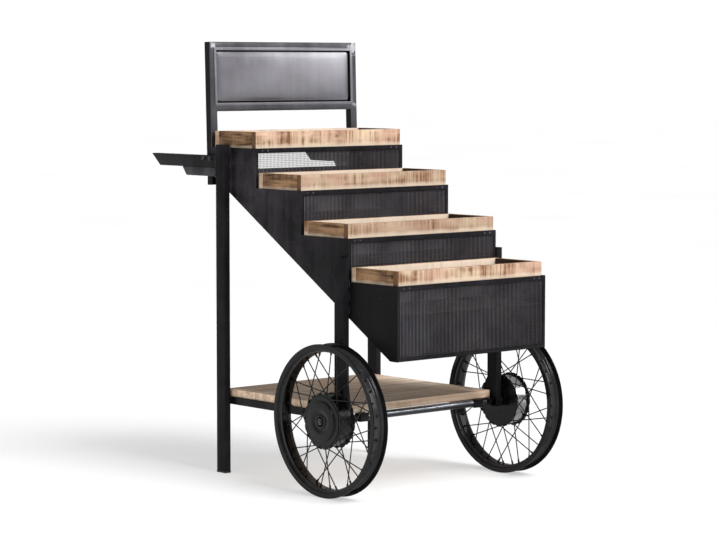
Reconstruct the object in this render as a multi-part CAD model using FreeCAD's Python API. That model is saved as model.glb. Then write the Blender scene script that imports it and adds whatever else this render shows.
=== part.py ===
"""Four-tier flower cart: stepped mesh-fronted bins on a legged frame with two spoked wheels.

Built in millimetres. While building, X runs to the right seen from the front, Y runs back from
the front face of the lowest bin, and Z runs up from the ground. Every piece is moved at the end
so that the origin lies on the ground under the centre of the whole cart.
"""
import FreeCAD
import Part
import math
import os

from FreeCAD import Vector

# ---- body of four stepped bins ----
body_width = 643.0             # over the outer faces of the side panels
sheet = 1.5                    # side panels, bottom and floors
tier_run = 230.0               # each bin steps back by this
tier_rises = (135.0, 141.0, 129.0)
first_rim_height = 677.0       # top edge of the lowest bin
front_panel_height = 234.0     # lowest bin's front, down to the underside
divider_height = 226.0         # fronts of the three bins above
underside_lip = 33.0           # level strip under the lowest front
underside_angle = 31.65        # slope of the closed underside, degrees

# ---- front frames and mesh ----
frame_thickness = 3.0
top_band = 16.0
side_band = 10.0
bottom_band = 12.0
mesh_thickness = 1.2
mesh_pitch = 21.0
mesh_strand = 3.0
mesh_lap = 8.0                 # mesh behind the side and top bands
rivet_radius = 1.6
rivet_head_radius = 3.2
rivet_head = 1.2
rivet_insets = (26.0, 50.0)    # from the bin's side, in the top band
rivet_drop = 8.0

# ---- back of the top bin ----
back_rail_height = 25.0
back_rail_thickness = 3.0
sill_depth = 25.0
sill_height = 10.0
sill_top = 1005.0              # bottom edge of the open back

# ---- ledges and wooden box frames ----
ledge = 16.0
ledge_thickness = 2.0
board = 20.0                   # board thickness
board_stands = (45.0, 45.0, 50.0, 54.0)   # how far each frame stands above its rim
board_sink = 14.0              # how far it reaches below the rim
box_widths = (626.0, 633.0, 633.0, 633.0)
box_shifts = (-2.0, 0.0, 0.0, 0.0)
box_depth = 215.0
box_front_gap = 2.3            # between the mesh and the front board

# ---- legs ----
leg_depth = 45.0               # along the cart
leg_width = 25.0
tube_wall = 2.0
leg_cap = 2.5
foot_height = 6.0
foot_plug = 15.0
foot_plug_gap = 0.3
rear_leg_setback = 827.0
rear_leg_height = 1092.0
front_leg_height = 754.0
front_leg_below_axle = 16.0

# ---- handles ----
handle_height = 40.0
handle_bottom = 1015.0
handle_reach = 1225.0          # top corner of the tip, from the front of the cart
handle_cut = 46.0              # how far the lower corner lies ahead of the upper one
brace_height = 29.0
brace_reach = 1054.0
brace_cut = 23.0
handle_bolt_height = 1045.0
handle_bolt_setbacks = (900.0, 936.0)
bolt_radius = 4.0
bolt_hole_gap = 0.25
bolt_head_flats = 13.0
bolt_head = 5.0

# ---- sign ----
sign_tube = 28.0
sign_top = 1431.0
sign_foot = 956.0
sign_lean = 1.72               # degrees, top leans back
sign_setback = 922.8           # front face of a post at the pivot height
sign_pivot_height = 1050.0
sign_panel_height = 175.0      # clear height between the two rails
sign_panel_sheet = 2.0
sign_panel_raise = 6.0
sign_panel_recess = 5.0        # panel face behind the frame's face
sign_panel_groove = 1.6

# ---- wheels and axle ----
rim_radius = 242.5             # over the flanges of an 18-inch rim
rim_width = 60.0
rim_depth = 26.0
rim_wall = 2.6
wheel_leg_gap = 6.5            # between the leg and the rim
axle_setback = 247.0
axle_radius = 6.0
axle_end = 4.0                 # thread showing past the nut
running_gap = 0.05
rod_hole_gap = 0.2
spoke_radius = 1.8
spoke_count = 36
spoke_cross = 40.0             # degrees between a spoke's two ends
spoke_circle = 84.0
spoke_lift = 1.8               # extra distance of an outside spoke from its flange
spoke_head_radius = 3.2
spoke_head = 1.8
nipple_radius = 3.2
nipple_length = 16.0
nipple_head_radius = 4.4
nipple_head = 2.5
nipple_gap = 0.15
rim_spoke_offsets = (6.6, 2.2)
hub_flange_radius = 89.0
hub_flange = 4.0
hub_outer_flange = 29.0        # flange mid-planes from the rim's mid-plane
hub_inner_flange = -27.0
hub_drum_radius = 80.0
hub_wall = 5.0
hub_boss_radius = 25.0
hub_cover_radius = 82.0
hub_cover_wall = 2.5
hub_cover_rise = 8.0
hub_cover_hole = 15.0
scallop_radius = 6.0
bearing_radius = 18.5
bearing_width = 12.0
bearing_recess = 2.0
outer_bearing_face = 20.0
spacer_radius = 8.5
spacer_gap = 0.3
nut_flats = 19.0
nut_height = 10.0

# ---- lower shelf ----
shelf_top = 280.5
shelf_board = 25.0
shelf_half_width = 315.0
shelf_front = 249.0
shelf_back = 853.0
shelf_board_count = 4
shelf_board_gap = 3.0
shelf_rail = 25.0
axle_tube_radius = 12.5
axle_block_length = 36.0
axle_block_depth = 30.0
axle_block_inner = 232.0       # inner end of a block from the middle of the cart
axle_block_below = 14.0

# ---- sizes that follow ----
outer_half = body_width / 2
inner_half = outer_half - sheet
tier_count = len(tier_rises) + 1
body_depth = tier_count * tier_run
tier_fronts = [k * tier_run for k in range(tier_count)]
rim_heights = [first_rim_height + sum(tier_rises[:k]) for k in range(tier_count)]
underside_height = first_rim_height - front_panel_height
slope = math.tan(math.radians(underside_angle))
slope_sheet = sheet / math.cos(math.radians(underside_angle))
underside_rear = underside_height + (body_depth - underside_lip) * slope
frame_bottoms = [underside_height + sheet] + [top - divider_height for top in rim_heights[1:]]
floor_tops = frame_bottoms[1:] + [sill_top - sill_height]
mesh_back = frame_thickness + mesh_thickness
leg_outer = outer_half + leg_width
axle_height = rim_radius
rear_leg_back = rear_leg_setback + leg_depth
front_leg_setback = axle_setback - leg_depth / 2
wheel_centre = leg_outer + wheel_leg_gap + rim_width / 2
hub_inner_face = hub_inner_flange - hub_flange / 2
hub_outer_face = hub_outer_flange + hub_flange / 2
inner_bearing_face = hub_inner_face + bearing_recess
nut_start = wheel_centre + outer_bearing_face + bearing_width + spacer_gap
axle_half = nut_start + nut_height + axle_end
shelf_bottom = shelf_top - shelf_board
rail_bottom = shelf_bottom - shelf_rail
front_reach = min(-rivet_head, axle_setback - rim_radius)
origin_setback = (front_reach + handle_reach) / 2

exported = []


# ---------------------------------------------------------------- shape helpers

def block(x_range, y_range, z_range):
    """A box between three pairs of limits."""
    low = Vector(x_range[0], y_range[0], z_range[0])
    return Part.makeBox(x_range[1] - x_range[0], y_range[1] - y_range[0],
                        z_range[1] - z_range[0], low)


def prism_along_x(outline, x_range):
    """A prism whose (y, z) outline is swept from one X to another."""
    corners = [Vector(x_range[0], y, z) for y, z in outline]
    face = Part.Face(Part.makePolygon(corners + corners[:1]))
    return face.extrude(Vector(x_range[1] - x_range[0], 0, 0))


def prism_along_y(outline, y_range):
    """A prism whose (x, z) outline is swept from one Y to another."""
    corners = [Vector(x, y_range[0], z) for x, z in outline]
    face = Part.Face(Part.makePolygon(corners + corners[:1]))
    return face.extrude(Vector(0, y_range[1] - y_range[0], 0))


def rod_along_x(radius, x_range, y=0.0, z=0.0):
    """A round rod along X."""
    return Part.makeCylinder(radius, x_range[1] - x_range[0], Vector(x_range[0], y, z),
                             Vector(1, 0, 0))


def ring_along_x(outer, inner, x_range, y=0.0, z=0.0):
    """A round tube along X."""
    return rod_along_x(outer, x_range, y, z).cut(rod_along_x(inner, x_range, y, z))


def hexagon_along_x(flats, x_range, y, z):
    """A hexagonal head or nut along X."""
    radius = flats / 2 / math.cos(math.radians(30))
    outline = [(y + radius * math.cos(math.radians(60 * k)),
                z + radius * math.sin(math.radians(60 * k))) for k in range(6)]
    return prism_along_x(outline, x_range)


def turned(profile):
    """A solid turned about the X axis from an (x, radius) outline."""
    corners = [Vector(x, 0, radius) for x, radius in profile]
    face = Part.Face(Part.makePolygon(corners + corners[:1]))
    return face.revolve(Vector(0, 0, 0), Vector(1, 0, 0), 360)


def mirrored(shape):
    """The same shape on the other side of the cart."""
    return shape.mirror(Vector(0, 0, 0), Vector(1, 0, 0))


def ordered(low, high, side):
    """X limits on the right (+1) or left (-1) side, in rising order."""
    return (low, high) if side > 0 else (-high, -low)


def export(name, *solids):
    """Move the solids to the cart's origin and write them as one node."""
    moved = []
    for solid in solids:
        copy = solid.copy()
        copy.translate(Vector(0, -origin_setback, 0))
        moved.append(copy)
    shape = moved[0] if len(moved) == 1 else Part.makeCompound(moved)
    shape.exportStep(os.path.join("parts", name + ".step"))
    exported.append((name, shape))


# ---------------------------------------------------------------- bins

def side_panel(side):
    """Stepped sheet with a straight sloping lower edge."""
    outline = [(0, underside_height), (underside_lip, underside_height),
               (body_depth, underside_rear), (body_depth, rim_heights[-1])]
    for front, top in reversed(list(zip(tier_fronts, rim_heights))):
        if front > 0:
            outline += [(front, top), (front, rim_heights[tier_fronts.index(front) - 1])]
        else:
            outline += [(front, top)]
    panel = prism_along_x(outline, ordered(inner_half, outer_half, side))
    for hole in bolt_holes(side, handle_bolt_setbacks[:1]):
        panel = panel.cut(hole)
    return panel


def bottom_sheet():
    """Bent sheet that closes the underside: a level lip, then the slope."""
    bend = underside_lip + (sheet - slope_sheet) / slope
    outline = [(0, underside_height), (underside_lip, underside_height),
               (body_depth, underside_rear), (body_depth, underside_rear + slope_sheet),
               (bend, underside_height + sheet), (0, underside_height + sheet)]
    return prism_along_x(outline, (-inner_half, inner_half))


def rivet_places(tier):
    """X and Z of the four rivets in a tier's top band."""
    z = rim_heights[tier] - rivet_drop
    offsets = [inner_half - inset for inset in rivet_insets]
    return [(side * x, z) for side in (-1, 1) for x in offsets]


def rivet_hole(x, y, z):
    """Hole for one rivet through frame and mesh."""
    return Part.makeCylinder(rivet_radius, mesh_back, Vector(x, y, z), Vector(0, 1, 0))


def front_frame(tier):
    """Flat rim round a mesh panel: a wide top band, side bands and a bottom band."""
    y = tier_fronts[tier]
    top = rim_heights[tier]
    low = frame_bottoms[tier]
    across = (y, y + frame_thickness)
    rim = block((-inner_half, inner_half), across, (low, top))
    window = block((side_band - inner_half, inner_half - side_band), across,
                   (low + bottom_band, top - top_band))
    rim = rim.cut(window)
    for x, z in rivet_places(tier):
        rim = rim.cut(rivet_hole(x, y, z))
    return rim


def mesh_panel(tier):
    """Holed sheet behind the frame, with square gaps between narrow strands."""
    y = tier_fronts[tier] + frame_thickness
    low = frame_bottoms[tier] + bottom_band - mesh_lap
    top = rim_heights[tier] - top_band + mesh_lap + rivet_drop / 2
    half = inner_half - side_band + mesh_lap
    panel = block((-half, half), (y, y + mesh_thickness), (low, top))
    clear_width = 2 * (inner_half - side_band)
    clear_low = low + mesh_lap
    clear_height = rim_heights[tier] - top_band - clear_low
    columns = int(clear_width // mesh_pitch)
    rows = int(clear_height // mesh_pitch)
    pitch_x = clear_width / columns
    pitch_z = clear_height / rows
    gaps = []
    for column in range(columns):
        x = -clear_width / 2 + column * pitch_x + mesh_strand / 2
        for row in range(rows):
            z = clear_low + row * pitch_z + mesh_strand / 2
            gaps.append(block((x, x + pitch_x - mesh_strand), (y, y + mesh_thickness),
                              (z, z + pitch_z - mesh_strand)))
    panel = panel.cut(Part.makeCompound(gaps))
    for x, z in rivet_places(tier):
        panel = panel.cut(rivet_hole(x, tier_fronts[tier], z))
    return panel


def rivets():
    """Rivets that clamp each mesh panel to its frame."""
    heads = []
    for tier, y in enumerate(tier_fronts):
        for x, z in rivet_places(tier):
            shank = Part.makeCylinder(rivet_radius, mesh_back, Vector(x, y, z), Vector(0, 1, 0))
            front = Part.makeCone(rivet_head_radius * 0.6, rivet_head_radius, rivet_head,
                                  Vector(x, y - rivet_head, z), Vector(0, 1, 0))
            back = Part.makeCylinder(rivet_radius * 1.4, rivet_head,
                                     Vector(x, y + mesh_back, z), Vector(0, 1, 0))
            heads.append(shank.fuse([front, back]).removeSplitter())
    return heads


def floor_plate(tier):
    """Level floor of one bin, under the foot of the next front frame."""
    start = tier_fronts[tier] + mesh_back
    last = tier == tier_count - 1
    end = body_depth if last else tier_fronts[tier + 1] + frame_thickness
    top = floor_tops[tier]
    return block((-inner_half, inner_half), (start, end), (top - sheet, top))


def back_top_rail():
    """Flat bar along the top of the open back."""
    top = rim_heights[-1]
    return block((-inner_half, inner_half), (body_depth - back_rail_thickness, body_depth),
                 (top - back_rail_height, top))


def back_sill():
    """Flat bar on the rear edge of the top floor."""
    return block((-inner_half, inner_half), (body_depth - sill_depth, body_depth),
                 (sill_top - sill_height, sill_top))


def box_ledges():
    """Angle strips inside the side panels, one pair for each wooden frame."""
    strips = []
    inset = mesh_back + ledge_thickness
    for y, rim in zip(tier_fronts, rim_heights):
        top = rim - board_sink
        outline = [(inner_half, top), (inner_half - ledge, top),
                   (inner_half - ledge, top - ledge_thickness),
                   (inner_half - ledge_thickness, top - ledge_thickness),
                   (inner_half - ledge_thickness, top - ledge), (inner_half, top - ledge)]
        strip = prism_along_y(outline, (y + inset, y + tier_run - inset))
        strips += [strip, mirrored(strip)]
    return strips


# ---------------------------------------------------------------- wooden box frames

def box_boards(tier):
    """Long boards (front and back) and side boards of one loose wooden frame."""
    half = box_widths[tier] / 2
    shift = box_shifts[tier]
    front = tier_fronts[tier] + mesh_back + box_front_gap
    back = front + box_depth
    rim = rim_heights[tier]
    z_range = (rim - board_sink, rim + board_stands[tier])
    x_range = (shift - half, shift + half)
    long_boards = [block(x_range, (front, front + board), z_range),
                   block(x_range, (back - board, back), z_range)]
    between = (front + board, back - board)
    side_boards = [block((x_range[0], x_range[0] + board), between, z_range),
                   block((x_range[1] - board, x_range[1]), between, z_range)]
    return long_boards, side_boards


# ---------------------------------------------------------------- legs and handles

def upright_tube(x_range, y_range, z_range):
    """Rectangular tube standing on end."""
    outer = block(x_range, y_range, z_range)
    inner = block((x_range[0] + tube_wall, x_range[1] - tube_wall),
                  (y_range[0] + tube_wall, y_range[1] - tube_wall), z_range)
    return outer.cut(inner)


def rear_leg(side):
    """Leg from its foot to above the top bin's rim."""
    return upright_tube(ordered(outer_half, leg_outer, side), (rear_leg_setback, rear_leg_back),
                        (foot_height, rear_leg_height - leg_cap))


def front_leg(side):
    """Leg from the axle to the second bin."""
    leg = upright_tube(ordered(outer_half, leg_outer, side),
                       (front_leg_setback, front_leg_setback + leg_depth),
                       (axle_height - front_leg_below_axle, front_leg_height - leg_cap))
    return leg.cut(axle_hole(outer_half, leg_outer, side))


def axle_hole(low, high, side):
    """Clearance hole for the axle rod through one side of the frame."""
    return rod_along_x(axle_radius + rod_hole_gap, ordered(low, high, side),
                       axle_setback, axle_height)


def leg_caps():
    """Plates that close the tops of the four legs."""
    caps = []
    for setback, height in ((front_leg_setback, front_leg_height),
                            (rear_leg_setback, rear_leg_height)):
        for side in (-1, 1):
            caps.append(block(ordered(outer_half, leg_outer, side),
                              (setback, setback + leg_depth), (height - leg_cap, height)))
    return caps


def rear_feet():
    """Plastic glides plugged into the rear legs."""
    feet = []
    inset = tube_wall + foot_plug_gap
    for side in (-1, 1):
        pad = block(ordered(outer_half, leg_outer, side), (rear_leg_setback, rear_leg_back),
                    (0, foot_height))
        plug = block(ordered(outer_half + inset, leg_outer - inset, side),
                     (rear_leg_setback + inset, rear_leg_back - inset),
                     (foot_height, foot_height + foot_plug))
        feet.append(pad.fuse(plug).removeSplitter())
    return feet


def cut_bar(side, low, high, reach, cut):
    """Closed bar behind a rear leg, its free end cut at an angle."""
    def outline(inset):
        run = cut * (1 - 2 * inset / (high - low))
        tip = reach - inset - cut * inset / (high - low)
        return [(rear_leg_back + inset, low + inset), (tip - run, low + inset),
                (tip, high - inset), (rear_leg_back + inset, high - inset)]
    outer = prism_along_x(outline(0), ordered(outer_half, leg_outer, side))
    inner = prism_along_x(outline(tube_wall),
                          ordered(outer_half + tube_wall, leg_outer - tube_wall, side))
    return outer.cut(inner)


def bolt_holes(side, setbacks):
    """Clearance holes through handle, panel and sign post."""
    inner = outer_half - sign_tube
    return [rod_along_x(bolt_radius + bolt_hole_gap, ordered(inner, leg_outer, side),
                        y, handle_bolt_height) for y in setbacks]


def handle_bar(side):
    """Long upper bar that is held to push the cart."""
    bar = cut_bar(side, handle_bottom, handle_bottom + handle_height, handle_reach, handle_cut)
    for hole in bolt_holes(side, handle_bolt_setbacks):
        bar = bar.cut(hole)
    return bar


def handle_brace(side):
    """Short bar that stiffens the handle from below."""
    return cut_bar(side, handle_bottom - brace_height, handle_bottom, brace_reach, brace_cut)


def handle_bolts():
    """Two bolts a side: one into the side panel, one through the sign post."""
    bolts = []
    for y, inner in zip(handle_bolt_setbacks, (inner_half, outer_half - sign_tube)):
        for side in (-1, 1):
            shank = rod_along_x(bolt_radius, ordered(inner - bolt_head, leg_outer, side),
                                y, handle_bolt_height)
            head = hexagon_along_x(bolt_head_flats,
                                   ordered(leg_outer, leg_outer + bolt_head, side),
                                   y, handle_bolt_height)
            nut = hexagon_along_x(bolt_head_flats, ordered(inner - bolt_head, inner, side),
                                  y, handle_bolt_height)
            bolts.append(shank.fuse([head, nut]).removeSplitter())
    return bolts


# ---------------------------------------------------------------- sign

def leaned(shape):
    """Lean a sign piece back about the pivot line."""
    shape.rotate(Vector(0, sign_setback, sign_pivot_height), Vector(1, 0, 0), -sign_lean)
    return shape


def sign_post(side):
    """Square tube with a closed top, bolted to the handle."""
    x_range = ordered(outer_half - sign_tube, outer_half, side)
    y_range = (sign_setback, sign_setback + sign_tube)
    outer = block(x_range, y_range, (sign_foot, sign_top))
    inner = block((x_range[0] + tube_wall, x_range[1] - tube_wall),
                  (y_range[0] + tube_wall, y_range[1] - tube_wall),
                  (sign_foot, sign_top - tube_wall))
    post = leaned(outer.cut(inner))
    for hole in bolt_holes(side, handle_bolt_setbacks[1:]):
        post = post.cut(hole)
    return post


def sign_rail(top):
    """Square tube between the posts, its top at a given height."""
    half = outer_half - sign_tube
    outer = block((-half, half), (sign_setback, sign_setback + sign_tube),
                  (top - sign_tube, top))
    inner = block((-half, half), (sign_setback + tube_wall, sign_setback + sign_tube - tube_wall),
                  (top - sign_tube + tube_wall, top - tube_wall))
    return leaned(outer.cut(inner))


def sign_panel():
    """Raised blank plate set back in the frame, on a flange that meets the frame."""
    half = outer_half - sign_tube
    top = sign_top - sign_tube
    low = top - sign_panel_height
    face = sign_setback + sign_panel_recess
    back = face + sign_panel_raise
    raised = block((sign_panel_groove - half, half - sign_panel_groove), (face, back),
                   (low + sign_panel_groove, top - sign_panel_groove))
    flange = block((-half, half), (back, back + sign_panel_sheet), (low, top))
    return leaned(raised.fuse(flange).removeSplitter())


# ---------------------------------------------------------------- lower shelf

def shelf_side_rail(side):
    """Square tube between a front leg and a rear leg."""
    x_range = ordered(outer_half - shelf_rail, outer_half, side)
    y_range = (front_leg_setback, rear_leg_back)
    outer = block(x_range, y_range, (rail_bottom, shelf_bottom))
    inner = block((x_range[0] + tube_wall, x_range[1] - tube_wall), y_range,
                  (rail_bottom + tube_wall, shelf_bottom - tube_wall))
    return outer.cut(inner).cut(axle_hole(outer_half - shelf_rail, outer_half, side))


def shelf_rear_rail():
    """Square tube across the back, between the side rails."""
    half = outer_half - shelf_rail
    y_range = (shelf_back - shelf_rail, shelf_back)
    outer = block((-half, half), y_range, (rail_bottom, shelf_bottom))
    inner = block((-half, half), (y_range[0] + tube_wall, y_range[1] - tube_wall),
                  (rail_bottom + tube_wall, shelf_bottom - tube_wall))
    return outer.cut(inner)


def shelf_boards():
    """Boards laid across the shelf rails."""
    span = shelf_back - shelf_front
    depth = (span - (shelf_board_count - 1) * shelf_board_gap) / shelf_board_count
    boards = []
    for k in range(shelf_board_count):
        start = shelf_front + k * (depth + shelf_board_gap)
        boards.append(block((-shelf_half_width, shelf_half_width), (start, start + depth),
                            (shelf_bottom, shelf_top)))
    return boards


# ---------------------------------------------------------------- axle

def axle_rod():
    """Threaded rod through both wheels, legs, rails and blocks."""
    return rod_along_x(axle_radius, (-axle_half, axle_half), axle_setback, axle_height)


def axle_tube():
    """Bright tube over the rod between the two blocks."""
    return ring_along_x(axle_tube_radius, axle_radius + rod_hole_gap,
                        (-axle_block_inner, axle_block_inner), axle_setback, axle_height)


def axle_blocks():
    """Blocks under the front board that hold the rod."""
    blocks = []
    for side in (-1, 1):
        body = block(ordered(axle_block_inner, axle_block_inner + axle_block_length, side),
                     (axle_setback - axle_block_depth / 2, axle_setback + axle_block_depth / 2),
                     (axle_height - axle_block_below, shelf_bottom))
        blocks.append(body.cut(axle_hole(axle_block_inner, axle_block_inner + axle_block_length,
                                         side)))
    return blocks


def axle_hardware():
    """Spacers on both sides of each hub, and the outer nuts."""
    bore = axle_radius + running_gap
    pieces = []
    spans = ((leg_outer, wheel_centre + inner_bearing_face - spacer_gap),
             (wheel_centre + outer_bearing_face + spacer_gap, nut_start))
    for side in (-1, 1):
        for low, high in spans:
            pieces.append(ring_along_x(spacer_radius, bore, ordered(low, high, side),
                                       axle_setback, axle_height))
        span = ordered(nut_start, nut_start + nut_height, side)
        nut = hexagon_along_x(nut_flats, span, axle_setback, axle_height)
        pieces.append(nut.cut(rod_along_x(bore, span, axle_setback, axle_height)))
    return pieces


# ---------------------------------------------------------------- wheels
# Each wheel part is made about the X axis with +X pointing away from the cart.

def rim_section():
    """Outline of the channel rim, hub side first, then the tyre side."""
    half = rim_width / 2
    seat = rim_depth * 0.66
    hub_side = [(half, rim_radius - 4), (half - 2.2, rim_radius - seat),
                (half * 0.66, rim_radius - seat - 0.6), (half * 0.44, rim_radius - rim_depth)]
    tyre_side = [(half, rim_radius), (half - rim_wall, rim_radius),
                 (half - 2.2 - rim_wall, rim_radius - seat + rim_wall),
                 (half * 0.61, rim_radius - seat - 0.6 + rim_wall),
                 (half * 0.39, rim_radius - rim_depth + rim_wall)]
    lower = [(-x, r) for x, r in hub_side] + list(reversed(hub_side))
    upper = tyre_side + [(-x, r) for x, r in reversed(tyre_side)]
    return lower + upper


def spoke_ends():
    """Start and end point of every spoke, with the side of the flange it lies on."""
    per_flange = spoke_count // 2
    step = 360.0 / per_flange
    ends = []
    for flange, turn, sign in ((hub_outer_flange, 0.0, 1), (hub_inner_flange, step / 2, -1)):
        for k in range(per_flange):
            outside = 1 if k % 2 == 0 else -1
            hub_angle = math.radians(turn + k * step)
            rim_angle = hub_angle + math.radians(spoke_cross * outside)
            stand_off = hub_flange / 2 + spoke_radius + (spoke_lift if outside > 0 else 0.0)
            hub_x = flange + sign * outside * stand_off
            rim_x = sign * rim_spoke_offsets[0 if outside > 0 else 1]
            reach = rim_radius - rim_depth + rim_wall
            start = Vector(hub_x, spoke_circle * math.cos(hub_angle),
                           spoke_circle * math.sin(hub_angle))
            end = Vector(rim_x, reach * math.cos(rim_angle), reach * math.sin(rim_angle))
            ends.append((start, end, flange, sign * outside))
    return ends


def spoke(start, end, flange, outward):
    """Bent spoke: a head and elbow through the flange, then the straight wire."""
    along = (end - start).normalize()
    wire = Part.makeCylinder(spoke_radius, (end - start).Length, start, along)
    far_face = flange - outward * hub_flange / 2
    elbow_start = Vector(far_face, start.y, start.z)
    elbow = Part.makeCylinder(spoke_radius, abs(start.x - far_face), elbow_start,
                              Vector(outward, 0, 0))
    knee = Part.makeSphere(spoke_radius, start)
    head = Part.makeCylinder(spoke_head_radius, spoke_head, elbow_start, Vector(-outward, 0, 0))
    return wire.fuse([elbow, knee, head]).removeSplitter()


def nipple(start, end):
    """Nipple round a spoke's outer end, its head inside the rim."""
    along = (end - start).normalize()
    head_start = end + along * (nipple_head_radius * 0.45)
    tail = head_start - along * nipple_length
    body = Part.makeCylinder(nipple_radius, nipple_length, tail, along)
    head = Part.makeCylinder(nipple_head_radius, nipple_head, head_start, along)
    bore = Part.makeCylinder(spoke_radius + nipple_gap, nipple_length + nipple_head, tail, along)
    return body.fuse(head).cut(bore).removeSplitter()


def rim():
    """Channel rim with a hole for every nipple."""
    body = turned(rim_section())
    for start, end, _, _ in spoke_ends():
        along = (end - start).normalize()
        hole = Part.makeCylinder(nipple_radius + nipple_gap, 6 * rim_wall,
                                 end - along * 3 * rim_wall, along)
        body = body.cut(hole)
    return body


def hub():
    """Drum hub: two scalloped flanges, a drum, an inner web and a bearing boss."""
    inner = hub_inner_face
    outer = hub_outer_face
    drum_inside = hub_drum_radius - hub_wall
    boss_end = outer_bearing_face + bearing_width / 4
    core = bearing_radius - 4
    profile = [(inner, bearing_radius), (inner, hub_flange_radius),
               (inner + hub_flange, hub_flange_radius), (inner + hub_flange, hub_drum_radius),
               (outer - hub_flange, hub_drum_radius), (outer - hub_flange, hub_flange_radius),
               (outer, hub_flange_radius), (outer, drum_inside),
               (inner + hub_wall, drum_inside), (inner + hub_wall, hub_boss_radius),
               (boss_end, hub_boss_radius), (boss_end, bearing_radius),
               (outer_bearing_face - bearing_width, bearing_radius),
               (outer_bearing_face - bearing_width, core),
               (inner_bearing_face + bearing_width, core),
               (inner_bearing_face + bearing_width, bearing_radius)]
    body = turned(profile)
    per_flange = spoke_count // 2
    step = 2 * math.pi / per_flange
    for flange, turn in ((hub_outer_flange, 0.0), (hub_inner_flange, step / 2)):
        span = (flange - hub_flange / 2, flange + hub_flange / 2)
        for k in range(per_flange):
            angle = turn + k * step
            body = body.cut(rod_along_x(spoke_radius + nipple_gap, span,
                                        spoke_circle * math.cos(angle),
                                        spoke_circle * math.sin(angle)))
            between = angle + step / 2
            distance = hub_flange_radius + scallop_radius / 2
            body = body.cut(rod_along_x(scallop_radius, span, distance * math.cos(between),
                                        distance * math.sin(between)))
    return body


def hub_cover():
    """Shallow domed cover on the hub's outer face, open round the axle nut."""
    base = hub_outer_face
    step = hub_cover_radius - 10
    crown = base + hub_cover_wall + hub_cover_rise
    outer_line = [(base, hub_cover_radius - 2), (base + hub_cover_wall, hub_cover_radius - 2),
                  (base + hub_cover_wall, step), (base + hub_cover_wall + 3, step - 3),
                  (crown - 1.5, step * 0.6), (crown, hub_cover_hole + 9),
                  (crown, hub_cover_hole)]
    inner_line = [(crown - hub_cover_wall, hub_cover_hole),
                  (crown - hub_cover_wall, hub_cover_hole + 9),
                  (crown - hub_cover_wall - 1.5, step * 0.6),
                  (base + 3, step - 3 - hub_cover_wall), (base, step - 3 - hub_cover_wall)]
    return turned(outer_line + inner_line)


def bearing_set():
    """Two bearings and the distance tube between them."""
    bore = axle_radius + running_gap
    inner_span = (inner_bearing_face, inner_bearing_face + bearing_width)
    outer_span = (outer_bearing_face - bearing_width, outer_bearing_face)
    return [ring_along_x(bearing_radius, bore, inner_span),
            ring_along_x(bearing_radius, bore, outer_span),
            ring_along_x(spacer_radius, bore, (inner_span[1], outer_span[0]))]


def on_axle(shape, side):
    """Place a wheel part on the right (+1) or left (-1) end of the axle."""
    placed = shape.copy() if side > 0 else mirrored(shape)
    placed.translate(Vector(side * wheel_centre, axle_setback, axle_height))
    return placed


# ---------------------------------------------------------------- build

def build_body():
    """Sheet-metal bins, their frames, mesh, floors and rivets."""
    export("side_panel_left", side_panel(-1))
    export("side_panel_right", side_panel(1))
    export("bottom_sheet", bottom_sheet())
    export("back_top_rail", back_top_rail())
    export("back_sill", back_sill())
    export("tier_floors", *[floor_plate(tier) for tier in range(tier_count)])
    export("box_ledges", *box_ledges())
    export("mesh_rivets", *rivets())
    for tier in range(tier_count):
        export("front_frame_%d" % (tier + 1), front_frame(tier))
        export("mesh_panel_%d" % (tier + 1), mesh_panel(tier))


def build_boxes():
    """Loose wooden frames, one for each bin."""
    for tier in range(tier_count):
        long_boards, side_boards = box_boards(tier)
        export("box_long_boards_%d" % (tier + 1), *long_boards)
        export("box_side_boards_%d" % (tier + 1), *side_boards)


def build_frame():
    """Legs, handles, sign and lower shelf."""
    for side, word in ((-1, "left"), (1, "right")):
        export("rear_leg_" + word, rear_leg(side))
        export("front_leg_" + word, front_leg(side))
        export("handle_bar_" + word, handle_bar(side))
        export("handle_brace_" + word, handle_brace(side))
        export("sign_post_" + word, sign_post(side))
        export("shelf_side_rail_" + word, shelf_side_rail(side))
    export("leg_caps", *leg_caps())
    export("rear_feet", *rear_feet())
    export("handle_bolts", *handle_bolts())
    export("sign_top_rail", sign_rail(sign_top))
    export("sign_bottom_rail", sign_rail(sign_top - sign_tube - sign_panel_height))
    export("sign_panel", sign_panel())
    export("shelf_rear_rail", shelf_rear_rail())
    export("shelf_boards", *shelf_boards())


def build_running_gear():
    """Axle, its blocks and hardware, and both wheels."""
    export("axle_rod", axle_rod())
    export("axle_tube", axle_tube())
    export("axle_blocks", *axle_blocks())
    export("axle_hardware", *axle_hardware())
    ends = spoke_ends()
    wheel_parts = (("rim", [rim()]), ("spokes", [spoke(*each) for each in ends]),
                   ("nipples", [nipple(start, end) for start, end, _, _ in ends]),
                   ("hub", [hub()]), ("hub_cover", [hub_cover()]), ("bearings", bearing_set()))
    for side, word in ((-1, "left"), (1, "right")):
        for name, shapes in wheel_parts:
            export("%s_%s" % (name, word), *[on_axle(shape, side) for shape in shapes])


def main():
    """Build and export every node, then print what was made."""
    os.makedirs("parts", exist_ok=True)
    build_body()
    build_boxes()
    build_frame()
    build_running_gear()
    for name, shape in exported:
        state = "valid" if shape.isValid() else "NOT VALID"
        print("%-24s %3d solids  %10.1f cm3  %s" % (name, len(shape.Solids),
                                                    shape.Volume / 1000, state))
    print(len(exported), "nodes")


main()
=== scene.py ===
"""Looks of a stepped flower cart: dark steel, woven wire, sawn wooden frames and spoked wheels.

Everything is in metres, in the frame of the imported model: +X runs to the right seen from the
front, +Y from the lowest bin towards the handles and +Z up from the ground.
"""

import logging
import math
from dataclasses import dataclass
from enum import Enum
from random import Random

import bmesh
import bpy
from mathutils import Matrix, Vector, noise


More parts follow.
